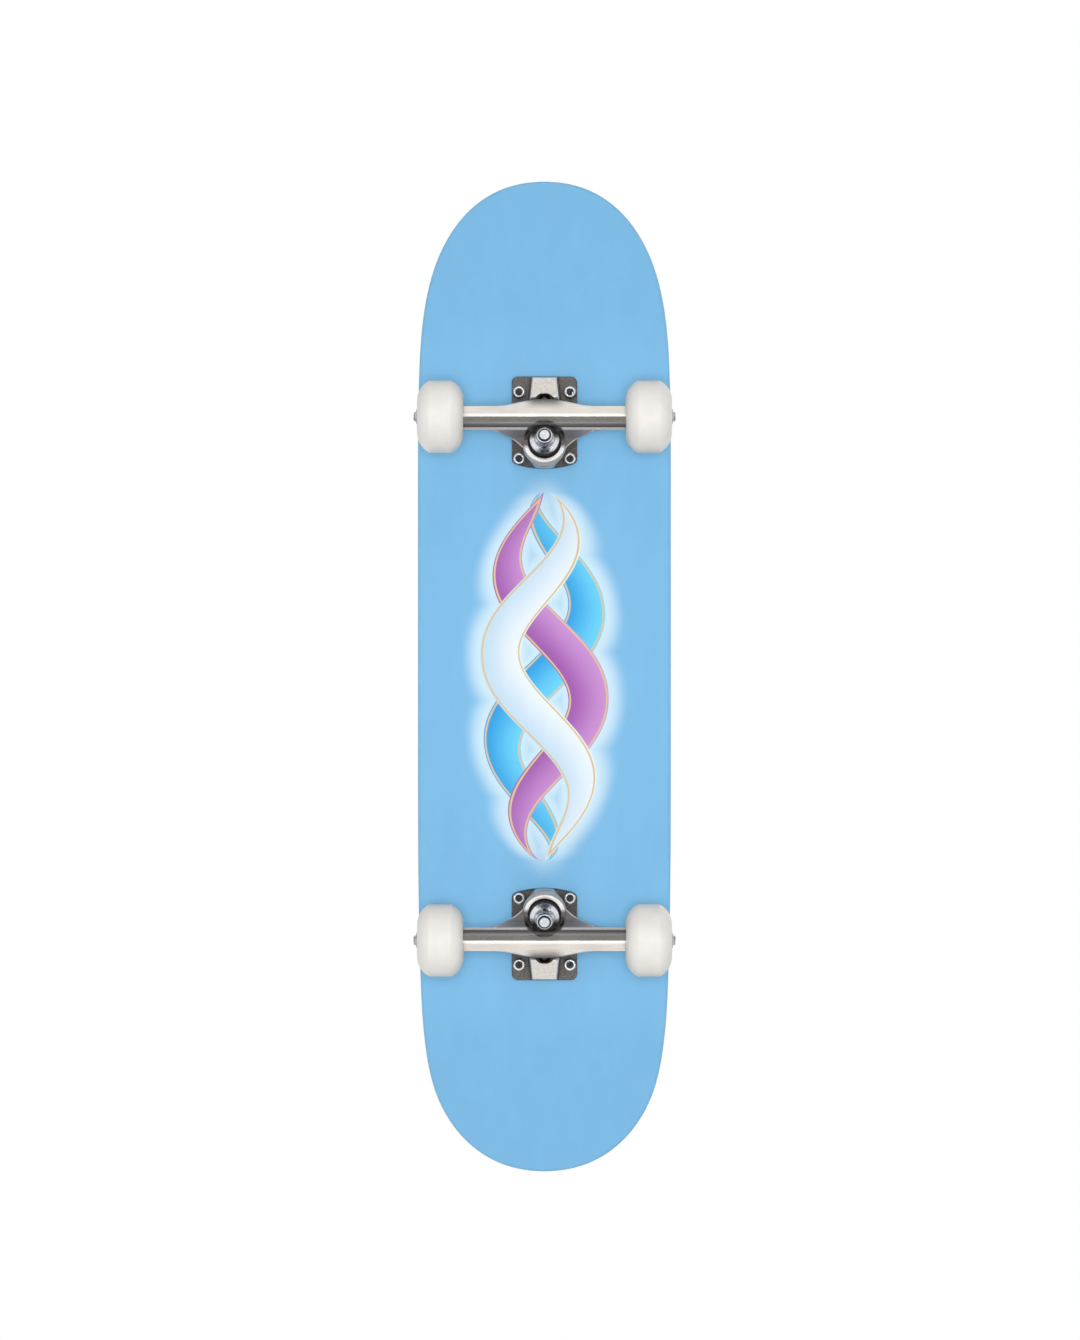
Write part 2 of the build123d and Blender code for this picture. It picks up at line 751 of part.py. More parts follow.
# Wheel and bearing pieces, with the axle along Z and the wheel's middle at zero
groove_radius = ball_diameter / 2 + running_fit
inner_shoulder = ball_pitch / 2 - ring_shoulder
outer_shoulder = ball_pitch / 2 + ring_shoulder
bearing_levels = [(0, 0, -bearing_offset), (0, 0, bearing_offset)]

with BuildPart() as wheel:
    with BuildSketch(Plane.XZ) as wheel_profile:
        with BuildLine():
            half = wheel_width / 2
            seat = bearing_outer / 2 + press_fit
            shoulder = ThreePointArc(
                (wheel_face_radius, half),
                (shoulder_bulge[1], shoulder_bulge[0]),
                (wheel_radius, tread_half),
            )
            Polyline(shoulder @ 1, (wheel_radius, 0), (wheel_lip_radius, 0))
            Polyline(
                (wheel_lip_radius, 0),
                (wheel_lip_radius, bearing_gap / 2),
                (seat, bearing_gap / 2),
                (seat, bearing_gap / 2 + bearing_width),
                (recess_radius, half),
                shoulder @ 0,
            )
        make_face()
        mirror(about=Plane.XZ)
    revolve(axis=Axis.Z)
    rims = wheel.edges().filter_by(GeomType.CIRCLE)
    fillet(rims.filter_by(lambda e: abs(e.radius - wheel_radius) < pick_margin), tread_rounding)


def bearing_ring(inner, outer):
    # One bearing ring in each bearing, with a ball groove.
    with BuildPart() as rings:
        with BuildSketch(Plane.XZ):
            with Locations(*[(0, z) for x, y, z in bearing_levels]):
                with Locations(((inner + outer) / 2, 0)):
                    Rectangle(outer - inner, bearing_width)
                with Locations((ball_pitch / 2, 0)):
                    Circle(groove_radius, mode=Mode.SUBTRACT)
        revolve(axis=Axis.Z)
    return rings.part


outer_rings = bearing_ring(outer_shoulder, bearing_outer / 2)
inner_rings = bearing_ring(bearing_bore / 2, inner_shoulder)

with BuildPart() as shields:
    with BuildSketch(Plane.XZ):
        with Locations(*[(0, z) for x, y, z in bearing_levels]):
            for way in (-1, 1):
                level = way * (bearing_width / 2 - shield_setback - shield_thickness / 2)
                inside = inner_shoulder + 4 * running_fit
                outside = outer_shoulder - press_fit
                with Locations(((inside + outside) / 2, level)):
                    Rectangle(outside - inside, shield_thickness)
    revolve(axis=Axis.Z)

with BuildPart() as balls:
    with Locations(*bearing_levels):
        with PolarLocations(ball_pitch / 2, ball_count):
            Sphere(ball_diameter / 2)

with BuildPart() as cages:
    with BuildSketch(Plane.XZ):
        with Locations(*[(ball_pitch / 2, z) for x, y, z in bearing_levels]):
            Rectangle(cage_thickness, cage_width)
    revolve(axis=Axis.Z)
    with Locations(*bearing_levels):
        with PolarLocations(ball_pitch / 2, ball_count):
            Cylinder(
                ball_diameter / 2 + running_fit,
                2 * cage_thickness,
                rotation=(0, 90, 0),
                mode=Mode.SUBTRACT,
            )

# Mounting bolts and nuts
with BuildPart() as mounting_bolts:
    head_top = deck_thickness + grip_thickness - bolt_head_sink
    bolt_end = plate_thickness + mount_nut_height + bolt_stickout
    with Locations(*[(x, y, head_top) for x, y in pattern]):
        Cylinder(
            bolt_diameter / 2, head_top + bolt_end, align=(Align.CENTER, Align.CENTER, Align.MAX)
        )
        Cone(
            bolt_diameter / 2,
            bolt_head_radius,
            bolt_head_height,
            align=(Align.CENTER, Align.CENTER, Align.MAX),
        )
        for length, width in ((recess_length, recess_width), (recess_width, recess_length)):
            Box(length, width, 2 * recess_depth, mode=Mode.SUBTRACT)

with BuildPart() as mounting_nuts:
    nut_face = Plane(origin=(0, 0, -plate_thickness), x_dir=(1, 0, 0), z_dir=(0, 0, -1))
    mounting_nut = lock_nut(nut_face, mount_nut_flats, mount_nut_height, bolt_diameter / 2 + running_fit)
    with Locations(*pattern):
        add(mounting_nut)

# Every piece is placed and written
truck_pieces = {
    "baseplate": baseplate.part,
    "pivot_cup": pivot_cup.part,
    "kingpin": kingpin.part,
    "kingpin_nut": kingpin_nut,
    "top_washer": top_washer,
    "bottom_washer": bottom_washer,
    "top_bushing": top_bushing,
    "bottom_bushing": bottom_bushing,
    "mounting_bolts": mounting_bolts.part,
    "mounting_nuts": mounting_nuts.part,
    "hanger": hanger.part,
    "axle": axle.part,
    "axle_nuts": axle_nuts.part,
    "axle_washers": axle_washers.part,
    "bearing_spacers": bearing_spacers.part,
}
wheel_pieces = {
    "wheel": wheel.part,
    "bearing_outer_rings": outer_rings,
    "bearing_shields": shields.part,
    "bearing_balls": balls.part,
    "bearing_cages": cages.part,
}
wheel_spots = [
    ("left", Location((axle_x, wheel_y, -axle_depth), (-90, 0, 0))),
    ("right", Location((axle_x, -wheel_y, -axle_depth), (-90, 0, 0))),
]
with BuildPart() as bearing_inner_rings:
    for side, spot in wheel_spots:
        add(inner_rings.moved(spot))
truck_pieces["bearing_inner_rings"] = bearing_inner_rings.part

os.makedirs("parts", exist_ok=True)
finished = {"deck": deck.part, "grip_tape": grip_tape.part}
for end, place in (("front", front_place), ("rear", rear_place)):
    for name, shape in truck_pieces.items():
        finished[f"{end}_{name}"] = shape.moved(place)
    for side, spot in wheel_spots:
        board_side = side if end == "front" else {"left": "right", "right": "left"}[side]
        for name, shape in wheel_pieces.items():
            finished[f"{end}_{board_side}_{name}"] = shape.moved(place * spot)
for name, shape in finished.items():
    shape.label = name
    export_step(shape, f"parts/{name}.step")
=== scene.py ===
import bpy
import math
import numpy as np
from mathutils import Matrix


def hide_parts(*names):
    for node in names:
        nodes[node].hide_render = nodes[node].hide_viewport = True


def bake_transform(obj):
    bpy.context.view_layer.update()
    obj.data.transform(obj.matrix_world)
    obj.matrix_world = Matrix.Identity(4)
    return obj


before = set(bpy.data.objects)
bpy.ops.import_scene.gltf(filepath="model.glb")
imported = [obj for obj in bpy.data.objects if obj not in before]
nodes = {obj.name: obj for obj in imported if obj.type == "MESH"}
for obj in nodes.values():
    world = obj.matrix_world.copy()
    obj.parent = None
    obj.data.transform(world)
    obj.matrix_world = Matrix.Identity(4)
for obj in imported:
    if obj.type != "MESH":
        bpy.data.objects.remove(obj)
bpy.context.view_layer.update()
ends = {"front": 1.0, "rear": -1.0}  # which way a truck faces along the board
sides = ("left", "right")
truckForm = {
    "front": 203.29,  # middle of each bolt pattern along the board, mm
    "rear": -206.29,
    "seat": (-20.6, -12.5),  # where the kingpin leaves the plate: outward of that middle, up from the deck
    "lean": math.radians(13.0),
}
print("frame loaded,", len(nodes), "nodes")


# small helpers for finishes: every number may be a socket or a plain value

narrow = (0.30, 0.70)  # parts of a noise's range that are stretched to the full one
wide = (0.25, 0.75)


def joinTo(graph, socket, value):
    if isinstance(value, bpy.types.NodeSocket):
        graph.links.new(value, socket)
    else:
        socket.default_value = value


def calc(graph, kind, first, second=0.0, clamp=False):
    node = graph.nodes.new("ShaderNodeMath")
    node.operation = kind
    node.use_clamp = clamp
    joinTo(graph, node.inputs[0], first)
    joinTo(graph, node.inputs[1], second)
    return node.outputs[0]


def plus(graph, first, second):
    return calc(graph, "ADD", first, second)


def minus(graph, first, second):
    return calc(graph, "SUBTRACT", first, second)


def times(graph, first, second):
    return calc(graph, "MULTIPLY", first, second)


def larger(graph, first, second):
    return calc(graph, "MAXIMUM", first, second)


def absolute(graph, value):
    return calc(graph, "ABSOLUTE", value)


def squared(graph, value):
    return calc(graph, "POWER", value, 2.0)


def rest(graph, share):
    return calc(graph, "SUBTRACT", 1.0, share)


def spread(graph, first, second):
    # distance of a point from an axis, from the two distances square to each other
    return calc(graph, "SQRT", plus(graph, squared(graph, first), squared(graph, second)))


def ease(graph, value, low, high, outLow=0.0, outHigh=1.0):
    # smooth step from outLow at low to outHigh at high
    node = graph.nodes.new("ShaderNodeMapRange")
    node.interpolation_type = "SMOOTHSTEP"
    joinTo(graph, node.inputs["Value"], value)
    joinTo(graph, node.inputs["From Min"], low)
    joinTo(graph, node.inputs["From Max"], high)
    joinTo(graph, node.inputs["To Min"], outLow)
    joinTo(graph, node.inputs["To Max"], outHigh)
    return node.outputs["Result"]


def fall(graph, value, low, high, top=1.0):
    # smooth step down from top at low to nothing at high
    return ease(graph, value, low, high, top, 0.0)


def blendColour(graph, share, first, second):
    node = graph.nodes.new("ShaderNodeMix")
    node.data_type = "RGBA"
    joinTo(graph, node.inputs[0], share)
    for socket, colour in ((node.inputs[6], first), (node.inputs[7], second)):  # the node's two colours
        joinTo(graph, socket, colour if isinstance(colour, bpy.types.NodeSocket) else (*colour, 1.0))
    return node.outputs[2]


def shade(graph, colour, amount):
    # a colour made lighter or darker by a number around 1
    node = graph.nodes.new("ShaderNodeVectorMath")
    node.operation = "SCALE"
    joinTo(graph, node.inputs[0], colour)
    joinTo(graph, node.inputs["Scale"], amount)
    return node.outputs[0]


def stretched(graph, place, scale):
    node = graph.nodes.new("ShaderNodeMapping")
    graph.links.new(place, node.inputs["Vector"])
    node.inputs["Scale"].default_value = scale
    return node.outputs["Vector"]


def grain(graph, place, scale, detail=3.0, rough=0.55):
    # soft noise from 0 to 1, with so many grains to the metre along each axis
    node = graph.nodes.new("ShaderNodeTexNoise")
    graph.links.new(stretched(graph, place, scale), node.inputs["Vector"])
    node.inputs["Scale"].default_value = 1.0
    node.inputs["Detail"].default_value = detail
    node.inputs["Roughness"].default_value = rough
    return node.outputs["Fac"]


def relief(graph, shader, height, depth, after=None):
    # bump whose full height is depth metres
    node = graph.nodes.new("ShaderNodeBump")
    node.inputs["Distance"].default_value = depth
    graph.links.new(height, node.inputs["Height"])
    if after is not None:
        graph.links.new(after, node.inputs["Normal"])
    graph.links.new(node.outputs["Normal"], shader.inputs["Normal"])
    return node.outputs["Normal"]


def startFinish(name, **values):
    finish = bpy.data.materials.new(name)
    finish.use_nodes = True
    graph = finish.node_tree
    shader = graph.nodes["Principled BSDF"]
    for socket, value in values.items():
        shader.inputs[socket.replace("_", " ")].default_value = value
    place = graph.nodes.new("ShaderNodeTexCoord").outputs["Object"]
    return finish, graph, shader, place


def split(graph, place, scale=1000.0):
    # x, y and z in millimetres
    bigger = shade(graph, place, scale)
    node = graph.nodes.new("ShaderNodeSeparateXYZ")
    graph.links.new(bigger, node.inputs[0])
    return node.outputs[0], node.outputs[1], node.outputs[2]


def dress(names, finish):
    for name in names:
        mesh = nodes[name].data
        mesh.materials.clear()
        mesh.materials.append(finish)


def truckNodes(*names):
    return [end + "_" + name for end in ends for name in names]


def wheelNodes(*names):
    return [end + "_" + side + "_" + name for end in ends for side in sides for name in names]


# deck: paint below, plies at the edge

deckForm = {
    "bottom": 81.0,  # height of the underside, mm, as are the other lengths
    "thickness": 11.0,
    "plies": 7,
    "flatHalf": 30.0,
    "concaveRadius": 340.0,
    "noseKick": 255.28,
    "tailKick": -258.28,
    "kickRadius": 110.0,
    "kickAngle": math.radians(20.0),
}
deckLook = {
    "paint": (0.196, 0.478, 0.752),
    "paintTone": (0.985, 1.015),
    "paintRoughness": 0.42,
    "paintReach": 2.35,  # how far up the rounded edge the paint goes, mm
    "paintSoft": 0.08,  # half the width of its end, and how far that wavers, mm
    "paintWaver": 0.12,
    "maple": (0.640, 0.440, 0.262),
    "crossPly": (0.430, 0.262, 0.135),
    "woodTone": (0.82, 1.14),
    "woodRoughness": 0.62,
    "glue": (0.250, 0.150, 0.080),
    "glueLine": (0.44, 0.49, 0.75),  # from and to this share of a ply off its middle, and how dark
    "soft": (22.0, 60.0, 60.0),  # grains to the metre along each axis, also the next three
    "waver": (60.0, 60.0, 60.0),
    "streak": (420.0, 420.0, 2600.0),
    "fibre": (35.0, 900.0, 900.0),
    "streakSpan": (0.2, 0.8),
    "fibreDepth": 0.00002,  # m
}
ribbonLook = {
    "reach": 150.0,  # half the length of the pattern along the board, mm
    "taper": 2.4,  # the larger, the nearer to its ends the ribbons get thin
    "swing": 36.0,
    "wave": 236.0,
    "halfWidth": 16.5,
    "edgeSoft": 0.25,
    "colours": [(0.025, 0.330, 0.720), (0.330, 0.095, 0.400), (0.520, 0.690, 0.840)],
    "lights": [(0.140, 0.620, 0.900), (0.560, 0.270, 0.620), (0.790, 0.860, 0.915)],
    "trim": (0.690, 0.520, 0.280),
    "trimInset": 1.5,  # how far inside the edge this line lies, and where it ends beside its middle, mm
    "trimFade": (0.55, 0.85),
    "glow": (0.650, 0.820, 0.920),
    "glowShare": 0.85,
    "glowReach": 17.0,
    "glowEnds": (0.9, 1.12),  # where it runs out along the board, as shares of the reach
}


def deckLevel(graph, x, y, z):
    # height in the ply pack: undo the kick's bend round its axis, then the concave round its own
    form = deckForm
    turn = form["kickAngle"]
    rise = minus(graph, z, form["bottom"])
    pastNose = minus(graph, x, form["noseKick"])
    pastTail = minus(graph, form["tailKick"], x)
    past = larger(graph, larger(graph, pastNose, pastTail), 0.0)
    toAxis = minus(graph, form["kickRadius"], rise)
    inBend = minus(graph, form["kickRadius"], spread(graph, past, toAxis))
    onRise = minus(graph, rise, form["kickRadius"] * (1 - math.cos(turn)))
    onRun = minus(graph, past, form["kickRadius"] * math.sin(turn))
    onSlope = minus(graph, times(graph, onRise, math.cos(turn)), times(graph, onRun, math.sin(turn)))
    bent = calc(graph, "LESS_THAN", calc(graph, "ARCTAN2", past, toAxis), turn)
    height = plus(graph, onSlope, times(graph, bent, minus(graph, inBend, onSlope)))
    out = larger(graph, minus(graph, absolute(graph, y), form["flatHalf"]), 0.0)
    drop = minus(graph, form["concaveRadius"], height)
    return minus(graph, form["concaveRadius"], spread(graph, out, drop))


def ribbons(graph, x, y, ground):
    # sine waves, three of them a third of a turn apart, each with a band about its own line
    # swing and width run out at both ends
    look = ribbonLook
    along = calc(graph, "DIVIDE", x, look["reach"])
    thin = rest(graph, calc(graph, "POWER", absolute(graph, along), look["taper"]))
    halfWidth = times(graph, thin, look["halfWidth"])
    sway = times(graph, calc(graph, "SQRT", larger(graph, thin, 0.0)), look["swing"])
    turnRate = 2 * math.pi / look["wave"]
    count = len(look["colours"])
    bands = []
    for step in range(count):
        angle = plus(graph, times(graph, x, turnRate), step * 2 * math.pi / count)
        swing = times(graph, calc(graph, "SINE", angle), sway)
        slope = times(graph, calc(graph, "COSINE", angle), look["swing"] * turnRate)
        lean = calc(graph, "SQRT", plus(graph, squared(graph, slope), 1.0))
        off = calc(graph, "DIVIDE", minus(graph, y, swing), lean)
        bands.append((off, minus(graph, absolute(graph, off), halfWidth)))
    nearest = bands[0][1]
    for off, outside in bands[1:]:
        nearest = calc(graph, "MINIMUM", nearest, outside)
    fadeOut = fall(graph, absolute(graph, along), *look["glowEnds"])
    halo = times(graph, fall(graph, nearest, 0.0, look["glowReach"], look["glowShare"]), fadeOut)
    colour = blendColour(graph, halo, ground, look["glow"])
    for (off, outside), dark, light in zip(bands, look["colours"], look["lights"]):
        across = ease(graph, off, -look["halfWidth"], look["halfWidth"])
        fill = blendColour(graph, across, dark, light)
        trim = fall(graph, absolute(graph, plus(graph, outside, look["trimInset"])), *look["trimFade"])
        fill = blendColour(graph, trim, fill, look["trim"])
        inside = fall(graph, outside, -look["edgeSoft"], look["edgeSoft"])
        colour = blendColour(graph, inside, colour, fill)
    return colour


def makeDeckFinish():
    look = deckLook
    finish, graph, shader, place = startFinish("paintedDeck", Specular_IOR_Level=0.35)
    x, y, z = split(graph, place)
    level = deckLevel(graph, x, y, z)
    soft = grain(graph, place, look["soft"])
    paint = ribbons(graph, x, y, look["paint"])
    paint = shade(graph, paint, ease(graph, soft, *wide, *look["paintTone"]))
    # plies: seven layers with the third and fifth laid across, a dark line at each glue joint
    ply = times(graph, level, deckForm["plies"] / deckForm["thickness"])
    number = calc(graph, "FLOOR", ply)
    fromMiddle = absolute(graph, minus(graph, number, deckForm["plies"] // 2))
    crossing = calc(graph, "LESS_THAN", absolute(graph, minus(graph, fromMiddle, 1.0)), 0.5)
    wood = blendColour(graph, crossing, look["maple"], look["crossPly"])
    inPly = absolute(graph, minus(graph, calc(graph, "FRACT", ply), 0.5))
    low, high, share = look["glueLine"]
    wood = blendColour(graph, ease(graph, inPly, low, high, 0.0, share), wood, look["glue"])
    streak = grain(graph, place, look["streak"])
    wood = shade(graph, wood, ease(graph, streak, *look["streakSpan"], *look["woodTone"]))
    waver = ease(graph, grain(graph, place, look["waver"]), *narrow, -look["paintWaver"], look["paintWaver"])
    edge = plus(graph, level, waver)
    bare = ease(graph, edge, look["paintReach"] - look["paintSoft"], look["paintReach"] + look["paintSoft"])
    graph.links.new(blendColour(graph, bare, paint, wood), shader.inputs["Base Color"])
    roughness = ease(graph, bare, 0.0, 1.0, look["paintRoughness"], look["woodRoughness"])
    graph.links.new(roughness, shader.inputs["Roughness"])
    relief(graph, shader, grain(graph, place, look["fibre"], detail=4.0), look["fibreDepth"])
    return finish


dress(["deck"], makeDeckFinish())
print("deck finished")


# grip tape: black grit

gripLook = {
    "dark": (0.012, 0.012, 0.013),
    "light": (0.070, 0.070, 0.074),
    "roughness": 0.85,
    "grains": 1500.0,  # to the metre, as are fine and broad
    "fine": (2600.0, 2600.0, 2600.0),
    "broad": (26.0, 40.0, 40.0),
    "speck": (0.38, 0.62),
    "tone": (0.85, 1.2),
    "fineShare": 0.6,
    "depth": 0.00035,  # m
}


def makeGripFinish():
    look = gripLook
    finish, graph, shader, place = startFinish(
        "gripGrit", Roughness=look["roughness"], Specular_IOR_Level=0.4
    )
    cells = graph.nodes.new("ShaderNodeTexVoronoi")
    cells.inputs["Scale"].default_value = look["grains"]
    graph.links.new(place, cells.inputs["Vector"])
    heap = calc(graph, "SUBTRACT", 1.0, cells.outputs["Distance"], clamp=True)
    fine = grain(graph, place, look["fine"], detail=2.0)
    broad = grain(graph, place, look["broad"], detail=4.0)
    speck = ease(graph, times(graph, fine, heap), *look["speck"])
    colour = blendColour(graph, speck, look["dark"], look["light"])
    colour = shade(graph, colour, ease(graph, broad, *narrow, *look["tone"]))
    graph.links.new(colour, shader.inputs["Base Color"])
    height = plus(graph, heap, times(graph, fine, look["fineShare"]))
    relief(graph, shader, height, look["depth"])
    return finish


dress(["grip_tape"], makeGripFinish())
print("grip tape finished")


# trucks: bright hangers with lengthwise polish and painted highlights, darker rough baseplates, both with
# painted shade

# marks in both: out from the bolt pattern's middle, up from the deck's underside, beside the board's
# middle line, ahead of the kingpin's line, along it from the plate, and the radius about it, all in mm
hangerLook = {
    "bright": (0.890, 0.835, 0.765),
    "dull": (0.690, 0.640, 0.580),
    "tone": (0.94, 1.04),
    "smooth": 0.24,
    "rough": 0.42,
    "lines": (2200.0, 55.0, 2200.0),  # grains to the metre along each axis, as are pits and cloud
    "pits": (900.0, 900.0, 900.0),
    "cloud": (70.0, 40.0, 70.0),
    "lineShare": 0.55,  # of the lines in the wear; the rest is pits
    "wearDepth": 0.00006,  # m
    # painted shade and painted shadow: their colour, then where they go
    "paintedShade": (0.045, 0.042, 0.040),
    "seat": {"radius": 13.5, "along": (22.2, 22.4)},
    "cuts": {
        "rounds": [(16.6, 6.2), (18.0, 4.4)],  # radius, and how far back of the kingpin's line
        "along": (22.7, 23.0),
        "end": (32.5, 33.5),
        "past": 0.10,  # share of the painted shade that is left past the end
    },
    # painted shade where the cuts leave the ring, on either side of the kingpin
    "flank": {"radius": 15.8, "ahead": (1.0, 3.0), "along": (27.5, 30.5), "share": 0.85},
    "hollow": {  # painted shade over the nut
        "out": -12.0,
        "halfLength": 9.2,
        "halfWidth": 14.6,
        "fade": (0.8, 1.25),
        "along": (24.5, 25.5),
        "share": 0.95,
    },
    "brow": {"out": (8.0, 19.0), "beside": (7.0, 19.0), "share": 0.9},  # painted shadow of the pivot housing on the brow over the pivot
    # painted shade along the foot of the bar's inner slope
    "foot": {"rise": (-5.1, -4.5), "fall": (-4.5, -1.3), "along": (28.5, 32.5), "share": 0.80},
    "markSoft": (0.05, 0.35),  # how far past a radius a mark ends
    # paler polish with a painted highlight, on the bar's ridge and the ring's rim
    "polishAndHighlight": (0.985, 0.965, 0.930),
    "ridge": {"out": 4.2, "fade": (0.7, 2.0), "up": -58.5},
    "rim": {"rise": (21.1, 22.0), "fall": (23.5, 24.5), "radius": (16.8, 17.4)},
    "barSide": (-5.5, -1.5),  # ahead; the ring's half next to the bar, which gets neither the polish nor the painted highlight
    "cast": (0.500, 0.475, 0.460),  # unpolished ring wall
    "castSlopeShade": (0.245, 0.226, 0.232),  # and the lower half of the bar's inner slope, painted darker as shade
    "castWebShade": (0.175, 0.162, 0.168),  # and the webs inside their worn edges, painted dark as shade next to the ring
    "webEdgeWearHighlight": (0.660, 0.630, 0.600),  # those edges, paler with wear and a painted highlight
    "castTone": (0.80, 1.16),
    "castMetal": 0.15,
    "castRougher": 0.2,
    "slopeEnds": {"foot": (-5.4, -4.6), "top": (-2.4, -0.6)},  # out
    "web": {
        "top": (-7.0, -6.4),  # out
        "ring": (17.7, 18.7),  # radius
        "bend": (25.4, -14.5),  # beside and out, where its edge bends
        "slope": 0.455,  # of the edge past the bend, and its curve before it
        "curve": 0.037,
        "line": (1.2, 2.4),  # width of the worn edge with its painted highlight
        "fade": (20.0, 38.0),  # beside; over this span the webs' painted shade gets so much paler
        "paler": 1.9,
    },
}
plateLook = {
    # dark flats near the deck and pale raised parts: rough cast against polish, with painted shade on the
    # flats
    "flat": (0.160, 0.149, 0.138),
    "raised": (0.690, 0.650, 0.610),
    # painted shade inside the housing's notch and along its groove
    "paintedShade": (0.035, 0.033, 0.032),
    "smooth": 0.34,
    "rough": 0.55,
    "pits": (640.0, 640.0, 640.0),  # grains to the metre, as is cloud
    "cloud": (120.0, 120.0, 120.0),
    "pitDepth": 0.00012,  # m
    "darkest": (0.45, 0.80),  # tone on flat and on raised parts
    "lightest": (1.60, 1.22),
    "raisedEdge": (72.8, 74.3),  # height over the ground where raised parts end, and how far it wavers, mm
    "waver": 0.5,
    # painted shade inside the notch in the lip of the pivot's housing
    "arch": {"rise": (8.0, 10.0), "fall": (24.4, 25.4), "beside": (7.4, 8.4), "up": (-23.5, -22.9)},
    # painted shade in the casting groove along the housing: out and beside at its lip, and how fast it
    # narrows
    "groove": {"lip": 20.8, "beside": 13.2, "narrowing": 0.102, "fade": (0.24, 0.8), "share": 0.6},
}


def truckPlace(graph, x, z):
    # distance outward from the middle of the nearer bolt pattern and height from the deck's underside
    middle = (truckForm["front"] - truckForm["rear"]) / 2
    shift = times(graph, calc(graph, "SIGN", x), middle - truckForm["front"])
    out = plus(graph, minus(graph, absolute(graph, x), middle), shift)
    return out, minus(graph, z, deckForm["bottom"])


def kingpinPlace(graph, out, up):
    # the same point turned by the kingpin's lean: ahead of its line, and along it from the plate
    lean = truckForm["lean"]
    run = minus(graph, out, truckForm["seat"][0])
    rise = minus(graph, up, truckForm["seat"][1])
    ahead = plus(graph, times(graph, run, math.cos(lean)), times(graph, rise, math.sin(lean)))
    along = minus(graph, times(graph, run, math.sin(lean)), times(graph, rise, math.cos(lean)))
    return ahead, along


def hangerPlace(graph, place):
    x, y, z = split(graph, place)
    out, up = truckPlace(graph, x, z)
    ahead, along = kingpinPlace(graph, out, up)
    return {
        "out": out,
        "up": up,
        "across": y,
        "beside": absolute(graph, y),
        "ahead": ahead,
        "along": along,
        "apart": spread(graph, ahead, y),
    }


def within(graph, distance, radius, share):
    # share up to a surface at that radius, nothing past it
    near, far = hangerLook["markSoft"]
    return times(graph, fall(graph, distance, radius + near, radius + far), share)


def hangerPaintedShade(graph, at):
    # painted shade in the well round the kingpin and along the foot of the inner slope, and painted shadow
    # of the pivot housing on the brow over the pivot
    seat = hangerLook["seat"]
    paintedShade = within(graph, at["apart"], seat["radius"], fall(graph, at["along"], *seat["along"]))
    cuts = hangerLook["cuts"]
    for radius, back in cuts["rounds"]:
        fromAxis = spread(graph, plus(graph, at["ahead"], back), at["across"])
        inCut = within(graph, fromAxis, radius, ease(graph, at["along"], *cuts["along"]))
        inCut = times(graph, inCut, ease(graph, at["along"], *cuts["end"], 1.0, cuts["past"]))
        paintedShade = larger(graph, paintedShade, inCut)
    flank = hangerLook["flank"]
    onFlank = fall(graph, at["along"], *flank["along"], flank["share"])
    onFlank = times(graph, ease(graph, at["ahead"], *flank["ahead"]), onFlank)
    paintedShade = larger(graph, paintedShade, within(graph, at["apart"], flank["radius"], onFlank))
    # rounded square: the fourth powers of both shares add up to one at its edge
    hollow = hangerLook["hollow"]
    fromMiddle = absolute(graph, minus(graph, at["out"], hollow["out"]))
    inLength = calc(graph, "POWER", calc(graph, "DIVIDE", fromMiddle, hollow["halfLength"]), 4.0)
    inWidth = calc(graph, "POWER", calc(graph, "DIVIDE", at["beside"], hollow["halfWidth"]), 4.0)
    inHollow = fall(graph, plus(graph, inLength, inWidth), *hollow["fade"], hollow["share"])
    inHollow = times(graph, inHollow, ease(graph, at["along"], *hollow["along"]))
    paintedShade = larger(graph, paintedShade, inHollow)
    brow = hangerLook["brow"]
    onBrow = times(graph, ease(graph, at["out"], *brow["out"]), fall(graph, at["beside"], *brow["beside"]))
    onBrow = times(graph, onBrow, brow["share"])
    foot = hangerLook["foot"]
    atFoot = ease(graph, at["out"], *foot["rise"])
    atFoot = times(graph, atFoot, fall(graph, at["out"], *foot["fall"], foot["share"]))
    atFoot = times(graph, atFoot, ease(graph, at["along"], *foot["along"]))
    return larger(graph, paintedShade, larger(graph, atFoot, onBrow))


def hangerPolishAndHighlight(graph, at, barSide):
    # paler polish from handling on the ridge of the bar and the rim of the ring, also a painted highlight
    # there
    ridge = hangerLook["ridge"]
    onRidge = fall(graph, absolute(graph, minus(graph, at["out"], ridge["out"])), *ridge["fade"])
    onRidge = times(graph, onRidge, calc(graph, "LESS_THAN", at["up"], ridge["up"]))
    rim = hangerLook["rim"]
    onRim = times(graph, ease(graph, at["along"], *rim["rise"]), fall(graph, at["along"], *rim["fall"]))
    onRim = times(graph, onRim, fall(graph, at["apart"], *rim["radius"]))
    return larger(graph, onRidge, times(graph, onRim, rest(graph, barSide)))


def castColourWithShade(graph, at, barSide):
    look = hangerLook
    # the lower inner slope is painted darker than the ring wall, as shade
    onWall = fall(graph, at["out"], *look["slopeEnds"]["foot"])
    colour = blendColour(graph, onWall, look["castSlopeShade"], look["cast"])
    # edge of a web: a straight line past its bend, before it lower by the square of the distance to the bend
    web = look["web"]
    bend, bendOut = web["bend"]
    short = larger(graph, minus(graph, bend, at["beside"]), 0.0)
    edge = plus(graph, times(graph, minus(graph, at["beside"], bend), web["slope"]), bendOut)
    edge = minus(graph, edge, times(graph, squared(graph, short), web["curve"]))
    # webs painted dark as shade next to the ring and paler away from it, their worn edges pale as a painted
    # highlight
    inside = shade(graph, look["castWebShade"], ease(graph, at["beside"], *web["fade"], 1.0, web["paler"]))
    pastLine = ease(graph, minus(graph, at["out"], edge), *web["line"])
    webColour = blendColour(graph, pastLine, look["webEdgeWearHighlight"], inside)
    onWeb = larger(graph, ease(graph, at["apart"], *web["ring"]), barSide)
    onWeb = times(graph, fall(graph, at["out"], *web["top"]), onWeb)
    return blendColour(graph, onWeb, colour, webColour)


